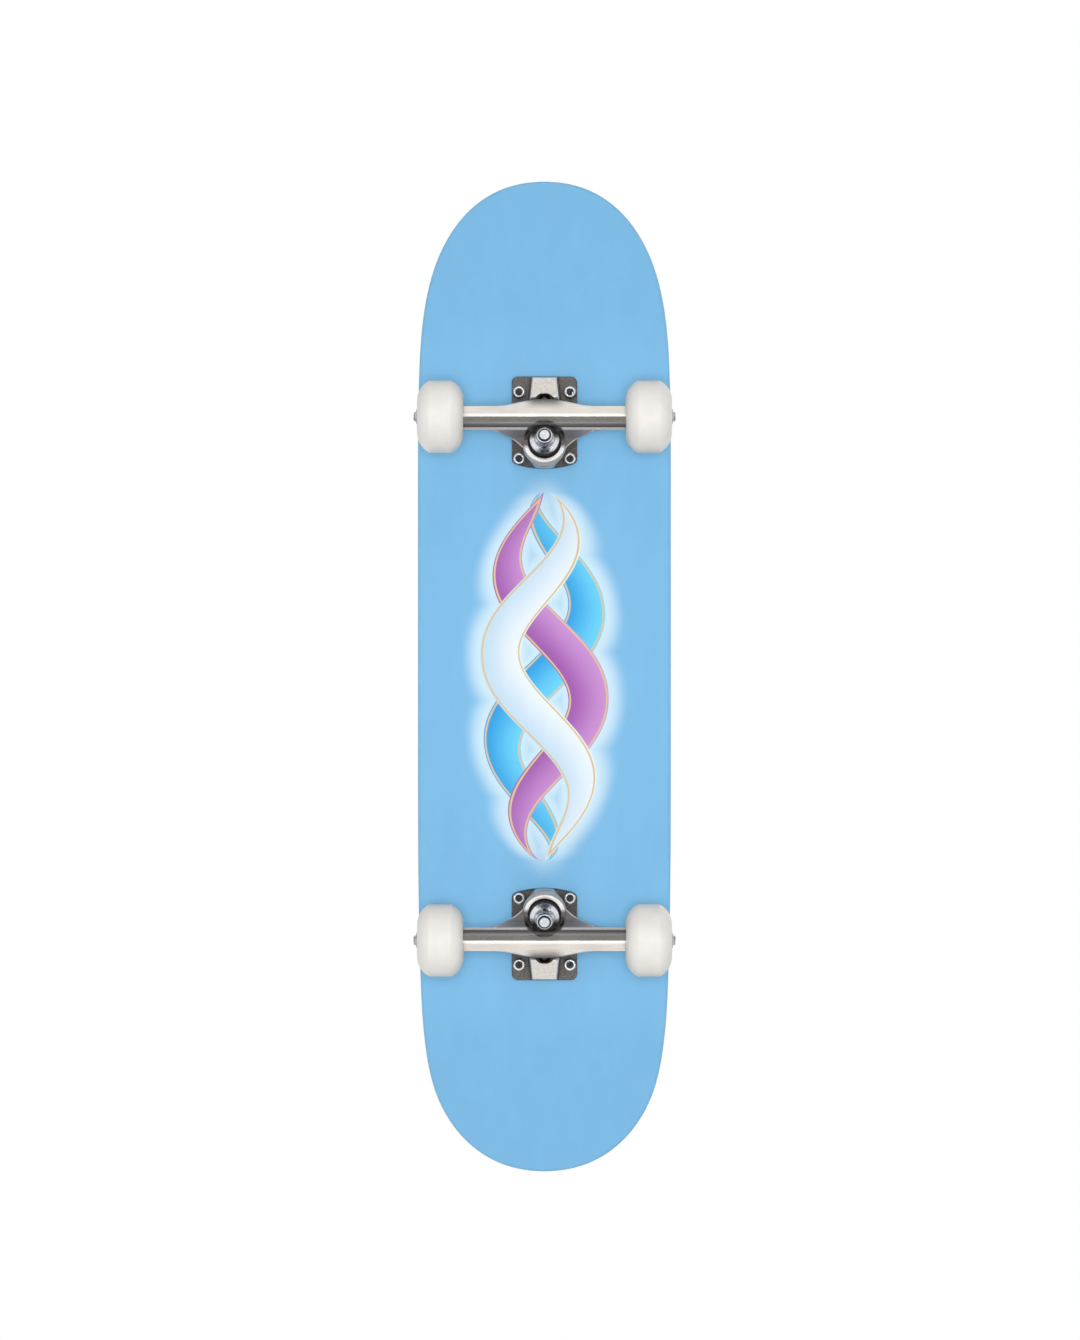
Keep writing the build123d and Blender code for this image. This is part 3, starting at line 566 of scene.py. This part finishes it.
def makeHangerFinish():
    look = hangerLook
    finish, graph, shader, place = startFinish("polishedHanger")
    at = hangerPlace(graph, place)
    barSide = ease(graph, at["ahead"], *look["barSide"])
    polishAndHighlight = hangerPolishAndHighlight(graph, at, barSide)
    lines = grain(graph, place, look["lines"])
    pits = grain(graph, place, look["pits"], detail=5.0, rough=0.7)
    cloud = grain(graph, place, look["cloud"], detail=2.0)
    pitShare = 1.0 - look["lineShare"]
    worn = plus(graph, times(graph, lines, look["lineShare"]), times(graph, pits, pitShare))
    colour = blendColour(graph, ease(graph, worn, *narrow), look["dull"], look["bright"])
    colour = shade(graph, colour, ease(graph, cloud, *narrow, *look["tone"]))
    # paler polish and painted highlight on the ridge and the rim
    colour = blendColour(graph, polishAndHighlight, colour, look["polishAndHighlight"])
    # the inner side keeps its rough casting, which mirrors little; its colour is painted darker as shade,
    # with a painted highlight on the webs' worn edges
    cast = times(graph, fall(graph, at["out"], *look["slopeEnds"]["top"]), rest(graph, polishAndHighlight))
    castWithShade = shade(graph, castColourWithShade(graph, at, barSide), ease(graph, pits, *wide, *look["castTone"]))
    colour = blendColour(graph, cast, colour, castWithShade)
    # painted shade in the kingpin's well, cuts and hollow and at the slope's foot, painted shadow of the
    # pivot housing on the brow
    colour = blendColour(graph, hangerPaintedShade(graph, at), colour, look["paintedShade"])
    graph.links.new(colour, shader.inputs["Base Color"])
    graph.links.new(ease(graph, cast, 0.0, 1.0, 1.0, look["castMetal"]), shader.inputs["Metallic"])
    polish = ease(graph, worn, *narrow, look["rough"], look["smooth"])
    roughness = plus(graph, polish, times(graph, cast, look["castRougher"]))
    graph.links.new(roughness, shader.inputs["Roughness"])
    relief(graph, shader, worn, look["wearDepth"])
    return finish


def makePlateFinish():
    look = plateLook
    finish, graph, shader, place = startFinish("castPlate", Metallic=0.9)
    x, y, z = split(graph, place)
    out, up = truckPlace(graph, x, z)
    beside = absolute(graph, y)
    pits = grain(graph, place, look["pits"], detail=5.0, rough=0.75)
    cloud = grain(graph, place, look["cloud"])
    waver = ease(graph, cloud, *narrow, -look["waver"], look["waver"])
    # flats near the deck darker: rough cast, and painted shade
    raised = fall(graph, plus(graph, z, waver), *look["raisedEdge"])
    colour = blendColour(graph, raised, look["flat"], look["raised"])
    darkest = ease(graph, raised, 0.0, 1.0, *look["darkest"])
    lightest = ease(graph, raised, 0.0, 1.0, *look["lightest"])
    colour = shade(graph, colour, ease(graph, pits, *wide, darkest, lightest))
    # painted shade inside the notch and along the casting groove
    arch = look["arch"]
    inArch = times(graph, fall(graph, out, *arch["fall"]), ease(graph, out, *arch["rise"]))
    inArch = times(graph, inArch, fall(graph, beside, *arch["beside"]))
    inArch = times(graph, inArch, ease(graph, up, *arch["up"]))
    groove = look["groove"]
    past = minus(graph, out, groove["lip"])
    line = minus(graph, groove["beside"], times(graph, past, groove["narrowing"]))
    inGroove = fall(graph, absolute(graph, minus(graph, beside, line)), *groove["fade"], groove["share"])
    inGroove = times(graph, inGroove, calc(graph, "GREATER_THAN", past, -groove["lip"]))
    inGroove = times(graph, inGroove, rest(graph, raised))
    colour = blendColour(graph, larger(graph, inArch, inGroove), colour, look["paintedShade"])
    graph.links.new(colour, shader.inputs["Base Color"])
    roughness = ease(graph, raised, 0.0, 1.0, look["rough"], look["smooth"])
    graph.links.new(roughness, shader.inputs["Roughness"])
    relief(graph, shader, pits, look["pitDepth"])
    return finish


dress(truckNodes("hanger"), makeHangerFinish())
dress(truckNodes("baseplate"), makePlateFinish())
print("trucks finished")


# hardware: zinc plate, black oxide and ground bearing steel

even = (520.0, 520.0, 520.0)  # grains to the metre
metalDepth = 0.00002  # m
zincLook = {"bright": (0.780, 0.805, 0.840), "dull": (0.600, 0.630, 0.680), "smooth": 0.16, "rough": 0.30}
# zinc painted dark blue as shade on the side towards the middle of the board
shadedSideLook = {
    "bright": (0.075, 0.092, 0.120),
    "dull": (0.030, 0.038, 0.052),
    "smooth": 0.22,
    "rough": 0.36,
    "washer": (-9.0, -2.0),  # how far ahead of the kingpin's line the painted dark side ends, mm
    "nut": (-11.0, -2.0),
    "wedge": 0.8,  # how much that drops for each mm to the side
    "waver": 1.0,
}
blackLook = {
    "bright": (0.050, 0.049, 0.048),
    "dull": (0.018, 0.018, 0.019),
    "smooth": 0.34,
    "rough": 0.48,
    "metal": 0.55,
}
bearingLook = {
    "bright": (0.700, 0.710, 0.725),
    "dull": (0.520, 0.530, 0.545),
    "smooth": 0.18,
    "rough": 0.32,
    "grains": (1400.0, 1400.0, 1400.0),
}
bandLook = {
    "dark": (0.030, 0.031, 0.034),
    "soft": 0.15,  # half the width of a band's edge, mm
    # from and to this radius about the thread, mm, and how dark
    # for locking inserts and thread ends, and painted shade where pieces meet and on the nuts' sides
    "kingpin": [(3.9, 9.0, 0.85)],
    # kingpin nut: its locking insert, and a line of painted shade round its collar
    "kingpinNut": [(0.0, 5.45, 0.92), (6.3, 7.0, 0.6)],
    # painted shade on the washer at the nut's foot
    "washer": [(0.0, 8.3, 0.55)],
    "axleNut": [(0.0, 4.7, 0.9), (6.0, 9.0, 0.75)],
    # bolt nut: its locking insert, and painted shade on its hex sides
    "mountNut": [(0.0, 3.05, 0.94), (4.35, 9.0, 0.62)],
}
threadForm = {
    "depth": 0.00022,  # half the ridge height, m; the rest in mm
    "axle": {"pitch": 1.06, "start": 88.0, "out": 3.5, "height": 28.75},
    "kingpin": {"pitch": 1.06, "start": 30.0},
    "bolt": {"pitch": 0.79, "start": 2.0, "out": 26.99, "across": 20.64},
}


# the next three give a point's place along an axis, and its two distances from it

def aboutAxle(graph, x, y, z):
    out, up = truckPlace(graph, x, z)
    beside = minus(graph, out, threadForm["axle"]["out"])
    across = minus(graph, z, threadForm["axle"]["height"])
    return absolute(graph, y), across, beside


def aboutKingpin(graph, x, y, z):
    ahead, along = kingpinPlace(graph, *truckPlace(graph, x, z))
    return along, y, ahead


def aboutBolt(graph, x, y, z):
    out, up = truckPlace(graph, x, z)
    beside = minus(graph, absolute(graph, out), threadForm["bolt"]["out"])
    across = minus(graph, absolute(graph, y), threadForm["bolt"]["across"])
    return times(graph, up, -1.0), across, beside


def threadRidges(graph, along, across, beside, form):
    # ridges that climb one pitch for each turn about the axis, only past the thread's start
    turn = calc(graph, "ARCTAN2", across, beside)
    climb = times(graph, along, 2 * math.pi / form["pitch"])
    wave = calc(graph, "SINE", plus(graph, climb, turn))
    return times(graph, wave, calc(graph, "GREATER_THAN", along, form["start"]))


def darkBands(graph, colour, apart, bands):
    # rings of dark about an axis, each with soft edges
    soft = bandLook["soft"]
    for inside, outside, share in bands:
        band = fall(graph, apart, outside - soft, outside + soft, share)
        if inside > 0:
            band = times(graph, band, ease(graph, apart, inside - soft, inside + soft))
        colour = blendColour(graph, band, colour, bandLook["dark"])
    return colour


def makeShadedSideFinish(name, fade, bands):
    # zinc painted dark blue on the side towards the middle of the board: painted shade
    look = shadedSideLook
    finish, graph, shader, place = startFinish(name, Metallic=1.0)
    along, y, ahead = aboutKingpin(graph, *split(graph, place))
    fine = grain(graph, place, even, detail=4.0, rough=0.6)
    wedge = plus(graph, ahead, times(graph, absolute(graph, y), look["wedge"]))
    waver = ease(graph, fine, *narrow, -look["waver"], look["waver"])
    behind = fall(graph, plus(graph, wedge, waver), *fade)
    bright = blendColour(graph, ease(graph, fine, *narrow), zincLook["dull"], zincLook["bright"])
    dark = blendColour(graph, ease(graph, fine, *narrow), look["dull"], look["bright"])
    colour = darkBands(graph, blendColour(graph, behind, bright, dark), spread(graph, ahead, y), bands)
    graph.links.new(colour, shader.inputs["Base Color"])
    graph.links.new(ease(graph, fine, *narrow, look["rough"], look["smooth"]), shader.inputs["Roughness"])
    relief(graph, shader, fine, metalDepth)
    return finish


def makeMetalFinish(name, look, about=None, thread=None, bands=()):
    # dark bands and a thread go about the axis that about is for
    finish, graph, shader, place = startFinish(name, Metallic=look.get("metal", 1.0))
    fine = grain(graph, place, look.get("grains", even), detail=4.0, rough=0.6)
    colour = blendColour(graph, ease(graph, fine, *narrow), look["dull"], look["bright"])
    graph.links.new(ease(graph, fine, *narrow, look["rough"], look["smooth"]), shader.inputs["Roughness"])
    skin = relief(graph, shader, fine, metalDepth)
    if about is not None:
        along, across, beside = about(graph, *split(graph, place))
        colour = darkBands(graph, colour, spread(graph, beside, across), bands)
        if thread is not None:
            ridges = threadRidges(graph, along, across, beside, thread)
            relief(graph, shader, ridges, threadForm["depth"], skin)
    graph.links.new(colour, shader.inputs["Base Color"])
    return finish


zinc = makeMetalFinish("zincPlate", zincLook)
bearingSteel = makeMetalFinish("groundSteel", bearingLook)
# washers and kingpin nut painted dark as shade on their inner side
shadedSideWasher = makeShadedSideFinish("shadedSideWasher", shadedSideLook["washer"], bandLook["washer"])
shadedSideNut = makeShadedSideFinish("shadedSideNut", shadedSideLook["nut"], bandLook["kingpinNut"])
zincNut = makeMetalFinish("zincNut", zincLook, aboutBolt, bands=bandLook["mountNut"])
darkNut = makeMetalFinish("darkNut", zincLook, aboutAxle, bands=bandLook["axleNut"])
zincAxle = makeMetalFinish("zincAxle", zincLook, aboutAxle, threadForm["axle"])
zincKingpin = makeMetalFinish(
    "zincKingpin", zincLook, aboutKingpin, threadForm["kingpin"], bandLook["kingpin"]
)
blackOxide = makeMetalFinish("blackOxide", blackLook, aboutBolt, threadForm["bolt"])
dress(truckNodes("top_washer", "bottom_washer"), shadedSideWasher)
dress(truckNodes("kingpin_nut"), shadedSideNut)
dress(truckNodes("mounting_nuts"), zincNut)
dress(truckNodes("axle_nuts"), darkNut)
dress(truckNodes("axle_washers", "bearing_spacers"), zinc)
dress(truckNodes("axle"), zincAxle)
dress(truckNodes("kingpin"), zincKingpin)
dress(truckNodes("mounting_bolts"), blackOxide)
dress(truckNodes("bearing_inner_rings"), bearingSteel)
dress(wheelNodes("bearing_outer_rings", "bearing_shields", "bearing_balls", "bearing_cages"), bearingSteel)
print("hardware finished")


# wheels: warm white urethane, and black urethane in the pivot cups and bushings

wheelLook = {
    "colour": (0.800, 0.785, 0.752),
    "shade": (0.725, 0.703, 0.658),
    "plain": 0.55,  # share of the plain colour over the clouds of both
    "roughness": (0.32, 0.46),
    "cloud": (90.0, 90.0, 90.0),  # grains to the metre, as is turned
    "turned": (60.0, 2400.0, 60.0),
    "depth": 0.00003,  # m
    "under": (1.0, 0.85, 0.65),  # how far each colour goes under the skin, as shares of 4 mm
}
rubberLook = {
    "colour": (0.012, 0.012, 0.013),
    "bloom": (0.034, 0.034, 0.036),
    "bloomSpan": (0.35, 0.75),
    "roughness": (0.36, 0.52),
    "cloud": (400.0, 400.0, 400.0),  # grains to the metre
    "depth": 0.00004,  # m
}


def makeWheelFinish():
    look = wheelLook
    finish, graph, shader, place = startFinish(
        "whiteUrethane", Subsurface_Weight=0.12, Subsurface_Scale=0.004, Specular_IOR_Level=0.4
    )
    shader.inputs["Subsurface Radius"].default_value = look["under"]
    cloud = grain(graph, place, look["cloud"])
    turned = grain(graph, place, look["turned"], detail=2.0)
    colour = blendColour(graph, ease(graph, cloud, *wide), look["colour"], look["shade"])
    colour = blendColour(graph, look["plain"], colour, look["colour"])
    graph.links.new(colour, shader.inputs["Base Color"])
    graph.links.new(ease(graph, turned, *narrow, *look["roughness"]), shader.inputs["Roughness"])
    relief(graph, shader, turned, look["depth"])
    return finish


def makeRubberFinish():
    look = rubberLook
    finish, graph, shader, place = startFinish("blackUrethane", Specular_IOR_Level=0.4)
    cloud = grain(graph, place, look["cloud"], detail=4.0)
    colour = blendColour(graph, ease(graph, cloud, *look["bloomSpan"]), look["colour"], look["bloom"])
    graph.links.new(colour, shader.inputs["Base Color"])
    graph.links.new(ease(graph, cloud, *narrow, *look["roughness"]), shader.inputs["Roughness"])
    relief(graph, shader, cloud, look["depth"])
    return finish


rubber = makeRubberFinish()
dress(wheelNodes("wheel"), makeWheelFinish())
dress(truckNodes("pivot_cup"), rubber)
print("wheels finished")


# bushings: turned urethane rings about the leaning kingpin

bushingForm = {
    # start along the kingpin from the plate, height, and radii at foot and head, mm
    "bottom": {"start": 1.5, "height": 14.0, "foot": 10.2, "head": 12.1},
    "top": {"start": 19.5, "height": 12.0, "foot": 12.3, "head": 9.0},
    "bulge": 0.8,
    "bore": 5.06,
    "lip": 0.6,
    "around": 96,  # points round the axis, and along it
    "along": 28,
}


def kingpinSpot(end, along, across=0.0, around=0.0):
    # point at a distance along the kingpin and at a radius and angle about it, in metres
    way = ends[end]
    lean = truckForm["lean"]
    side = across * np.cos(around)
    out = truckForm["seat"][0] + along * np.sin(lean) + side * np.cos(lean)
    left = across * np.sin(around)
    up = truckForm["seat"][1] - along * np.cos(lean) + side * np.sin(lean)
    place = np.broadcast_arrays(truckForm[end] + way * out, way * left, deckForm["bottom"] + up)
    return np.stack(place, axis=-1) / 1000.0


def addSurface(name, points, finish, closedAcross=True, closedAlong=True):
    # grid of points to quads; both ways round may close on themselves
    rows, columns = points.shape[:2]
    index = np.arange(rows * columns).reshape(rows, columns)
    if closedAcross:
        index = np.concatenate([index, index[:, :1]], axis=1)
    if closedAlong:
        index = np.concatenate([index, index[:1]], axis=0)
    quads = np.stack([index[:-1, :-1], index[1:, :-1], index[1:, 1:], index[:-1, 1:]], axis=-1)
    quads = quads.reshape(-1, 4)
    mesh = bpy.data.meshes.new(name)
    mesh.from_pydata(points.reshape(-1, 3).tolist(), [], quads.tolist())
    mesh.polygons.foreach_set("use_smooth", np.ones(len(quads), bool))
    mesh.materials.append(finish)
    mesh.update()
    piece = bpy.data.objects.new(name, mesh)
    bpy.context.scene.collection.objects.link(piece)
    return piece


def bushingPoints(end, form):
    # profile turned about the kingpin: a bulged skin with rounded lips outside, a plain bore inside
    share = np.linspace(0.0, 1.0, bushingForm["along"])
    skin = form["foot"] + (form["head"] - form["foot"]) * share
    skin = skin + bushingForm["bulge"] * 4 * share * (1 - share)
    near = np.minimum(share, 1 - share) * form["height"] / bushingForm["lip"]
    skin = skin - bushingForm["lip"] * (1 - np.sqrt(1 - np.clip(1 - near, 0.0, 1.0) ** 2))
    radius = np.concatenate([skin, np.full(bushingForm["along"], bushingForm["bore"])])
    along = form["start"] + form["height"] * np.concatenate([share, share[::-1]])
    around = np.linspace(0.0, 2 * np.pi, bushingForm["around"], endpoint=False)
    return kingpinSpot(end, along[:, None], radius[:, None], around[None, :])


for end in ends:
    for place in ("bottom", "top"):
        form = bushingForm[place]
        piece = addSurface(end + "_" + place + "_bushing_rubber", bushingPoints(end, form), rubber)
        low = kingpinSpot(end, form["start"])
        high = kingpinSpot(end, form["start"] + form["height"])
        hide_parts(end + "_" + place + "_bushing")
        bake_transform(piece)
print("bushings made")


# studio: white surround, soft lamps above and below, a pale floor that only shows from above

studio = {
    "surround": 0.32,  # light from all round, as a share of white
    "lamps": [
        # name, place, size, watts, whether reflections see it
        ("noseLamp", (1.9, 0.0, -1.0), 1.4, 7.0, False),
        ("tailLamp", (-1.9, 0.0, -1.0), 1.4, 7.0, False),
        ("leftLamp", (0.0, 1.9, -0.7), 1.4, 6.0, False),
        ("rightLamp", (0.0, -1.9, -0.7), 1.4, 6.0, False),
        ("underLamp", (0.0, 0.0, -2.3), 0.7, 29.0, False),
        ("glintLamp", (0.0, 0.0, -2.3), 2.2, 5.0, True),
        ("keyLamp", (0.7, 1.5, 2.0), 1.6, 25.0, False),
        ("fillLamp", (-1.0, -1.8, 1.6), 1.8, 14.0, False),
    ],
    "target": (0.0, 0.0, 0.07),
    "floor": (0.86, 0.86, 0.86),
    "floorGlow": 0.82,  # brightness of the floor's own pale light, and how much of it there is
    "floorShare": 0.35,
    "floorFade": (0.75, 1.568),  # radius where it starts to fade into the surround and where it is gone, m
    "floorReach": 1.60,
    "floorGrid": (12, 72),  # circles, and points round each
    "card": {"halfWidth": 0.45, "low": -0.80, "high": 0.060, "dark": 0.16},
}
photoView = {"place": (0.0053, -0.0036, -2.419), "lens": 82.65, "sensor": 36.0}


def mixShaders(graph, share, first, second):
    node = graph.nodes.new("ShaderNodeMixShader")
    joinTo(graph, node.inputs[0], share)
    graph.links.new(first.outputs[0], node.inputs[1])
    graph.links.new(second.outputs[0], node.inputs[2])
    return node


def makeSurround():
    world = bpy.data.worlds.new("surround")
    bpy.context.scene.world = world
    world.use_nodes = True
    graph = world.node_tree
    graph.nodes.clear()
    rays = graph.nodes.new("ShaderNodeLightPath")
    seen = larger(graph, rays.outputs["Is Camera Ray"], rays.outputs["Is Glossy Ray"])
    seen = larger(graph, seen, rays.outputs["Is Transmission Ray"])
    shown = graph.nodes.new("ShaderNodeBackground")
    shown.inputs["Color"].default_value = (1.0, 1.0, 1.0, 1.0)
    light = graph.nodes.new("ShaderNodeBackground")
    light.inputs["Color"].default_value = (1.0, 1.0, 1.0, 1.0)
    light.inputs["Strength"].default_value = studio["surround"]
    pick = mixShaders(graph, seen, light, shown)
    graph.links.new(pick.outputs[0], graph.nodes.new("ShaderNodeOutputWorld").inputs["Surface"])


def aim(place, target, up):
    # turn that looks from place to target, with up towards the top
    back = np.array(place, float) - np.array(target, float)
    back /= np.linalg.norm(back)
    right = np.cross(up, back)
    right /= np.linalg.norm(right)
    top = np.cross(back, right)
    turn = np.eye(4)
    turn[:3, :3] = np.stack([right, top, back], axis=1)
    turn[:3, 3] = place
    return Matrix(turn.tolist())


def addLamp(name, place, size, watts, seen):
    lamp = bpy.data.lights.new(name, "AREA")
    lamp.shape = "DISK"
    lamp.size = size
    lamp.energy = watts
    if place[2] < 0:  # from under the floor: it lights what it meets, and nothing bounces on from there
        lamp.cycles.use_multiple_importance_sampling = False
        lamp.use_nodes = True
        graph = lamp.node_tree
        bounces = graph.nodes.new("ShaderNodeLightPath").outputs["Diffuse Depth"]
        joinTo(graph, graph.nodes["Emission"].inputs["Strength"], calc(graph, "LESS_THAN", bounces, 0.5))
    holder = bpy.data.objects.new(name, lamp)
    holder.matrix_world = aim(place, studio["target"], (0.0, 1.0, 0.0))
    holder.visible_glossy = seen
    bpy.context.scene.collection.objects.link(holder)


def emptyFinish(name):
    finish = bpy.data.materials.new(name)
    finish.use_nodes = True
    graph = finish.node_tree
    graph.nodes.clear()
    return finish, graph, graph.nodes.new("ShaderNodeTexCoord").outputs["Object"]


def addFloor():
    # disc by radius and angle; it fades out with radius and shows from above only
    circles, spots = studio["floorGrid"]
    radius = np.linspace(0.0, studio["floorReach"], circles)[1:, None]
    around = np.linspace(0.0, 2 * np.pi, spots, endpoint=False)[None, :]
    points = np.stack(np.broadcast_arrays(radius * np.cos(around), radius * np.sin(around), 0.0), axis=-1)
    points = np.concatenate([np.zeros((1, spots, 3)), points])
    finish, graph, place = emptyFinish("paleFloor")
    length = graph.nodes.new("ShaderNodeVectorMath")
    length.operation = "LENGTH"
    graph.links.new(place, length.inputs[0])
    fade = ease(graph, length.outputs["Value"], *studio["floorFade"])
    hidden = larger(graph, fade, graph.nodes.new("ShaderNodeNewGeometry").outputs["Backfacing"])
    paper = graph.nodes.new("ShaderNodeBsdfDiffuse")
    paper.inputs["Color"].default_value = (*studio["floor"], 1.0)
    glow = graph.nodes.new("ShaderNodeEmission")
    glow.inputs["Strength"].default_value = studio["floorGlow"]
    lit = mixShaders(graph, studio["floorShare"], paper, glow)
    pick = mixShaders(graph, hidden, lit, graph.nodes.new("ShaderNodeBsdfTransparent"))
    graph.links.new(pick.outputs[0], graph.nodes.new("ShaderNodeOutputMaterial").inputs["Surface"])
    floor = addSurface("floor", points, finish, closedAlong=False)
    floor.visible_diffuse = False
    floor.visible_glossy = False
    floor.visible_transmission = False
    floor.visible_shadow = False


def addCard():
    # card between the trucks that only reflections see, white at its foot and dark toward the deck
    card = studio["card"]
    across = np.linspace(-card["halfWidth"], card["halfWidth"], 2)[None, :]
    up = np.linspace(card["low"], card["high"], 2)[:, None]
    points = np.stack(np.broadcast_arrays(0.0, across, up), axis=-1)
    finish, graph, place = emptyFinish("blackCard")
    glow = graph.nodes.new("ShaderNodeEmission")
    height = split(graph, place, 1.0)[2]  # in metres
    strength = ease(graph, height, card["low"], card["high"], 1.0, card["dark"])
    graph.links.new(strength, glow.inputs["Strength"])
    graph.links.new(glow.outputs[0], graph.nodes.new("ShaderNodeOutputMaterial").inputs["Surface"])
    piece = addSurface("card", points, finish, closedAcross=False, closedAlong=False)
    piece.visible_camera = False
    piece.visible_diffuse = False
    piece.visible_transmission = False
    piece.visible_shadow = False


def addCamera():
    # straight up at the underside, nose at the top of the picture
    lens = bpy.data.cameras.new("photoCamera")
    lens.lens = photoView["lens"]
    lens.sensor_width = photoView["sensor"]
    lens.sensor_fit = "AUTO"
    camera = bpy.data.objects.new("photoCamera", lens)
    x, y, z = photoView["place"]
    camera.matrix_world = aim((x, y, z), (x, y, z + 1.0), (1.0, 0.0, 0.0))
    bpy.context.scene.collection.objects.link(camera)
    bpy.context.scene.camera = camera


makeSurround()
addFloor()
addCard()
for lamp in studio["lamps"]:
    addLamp(*lamp)
addCamera()
bpy.context.scene.view_settings.view_transform = "Standard"
print("studio set")
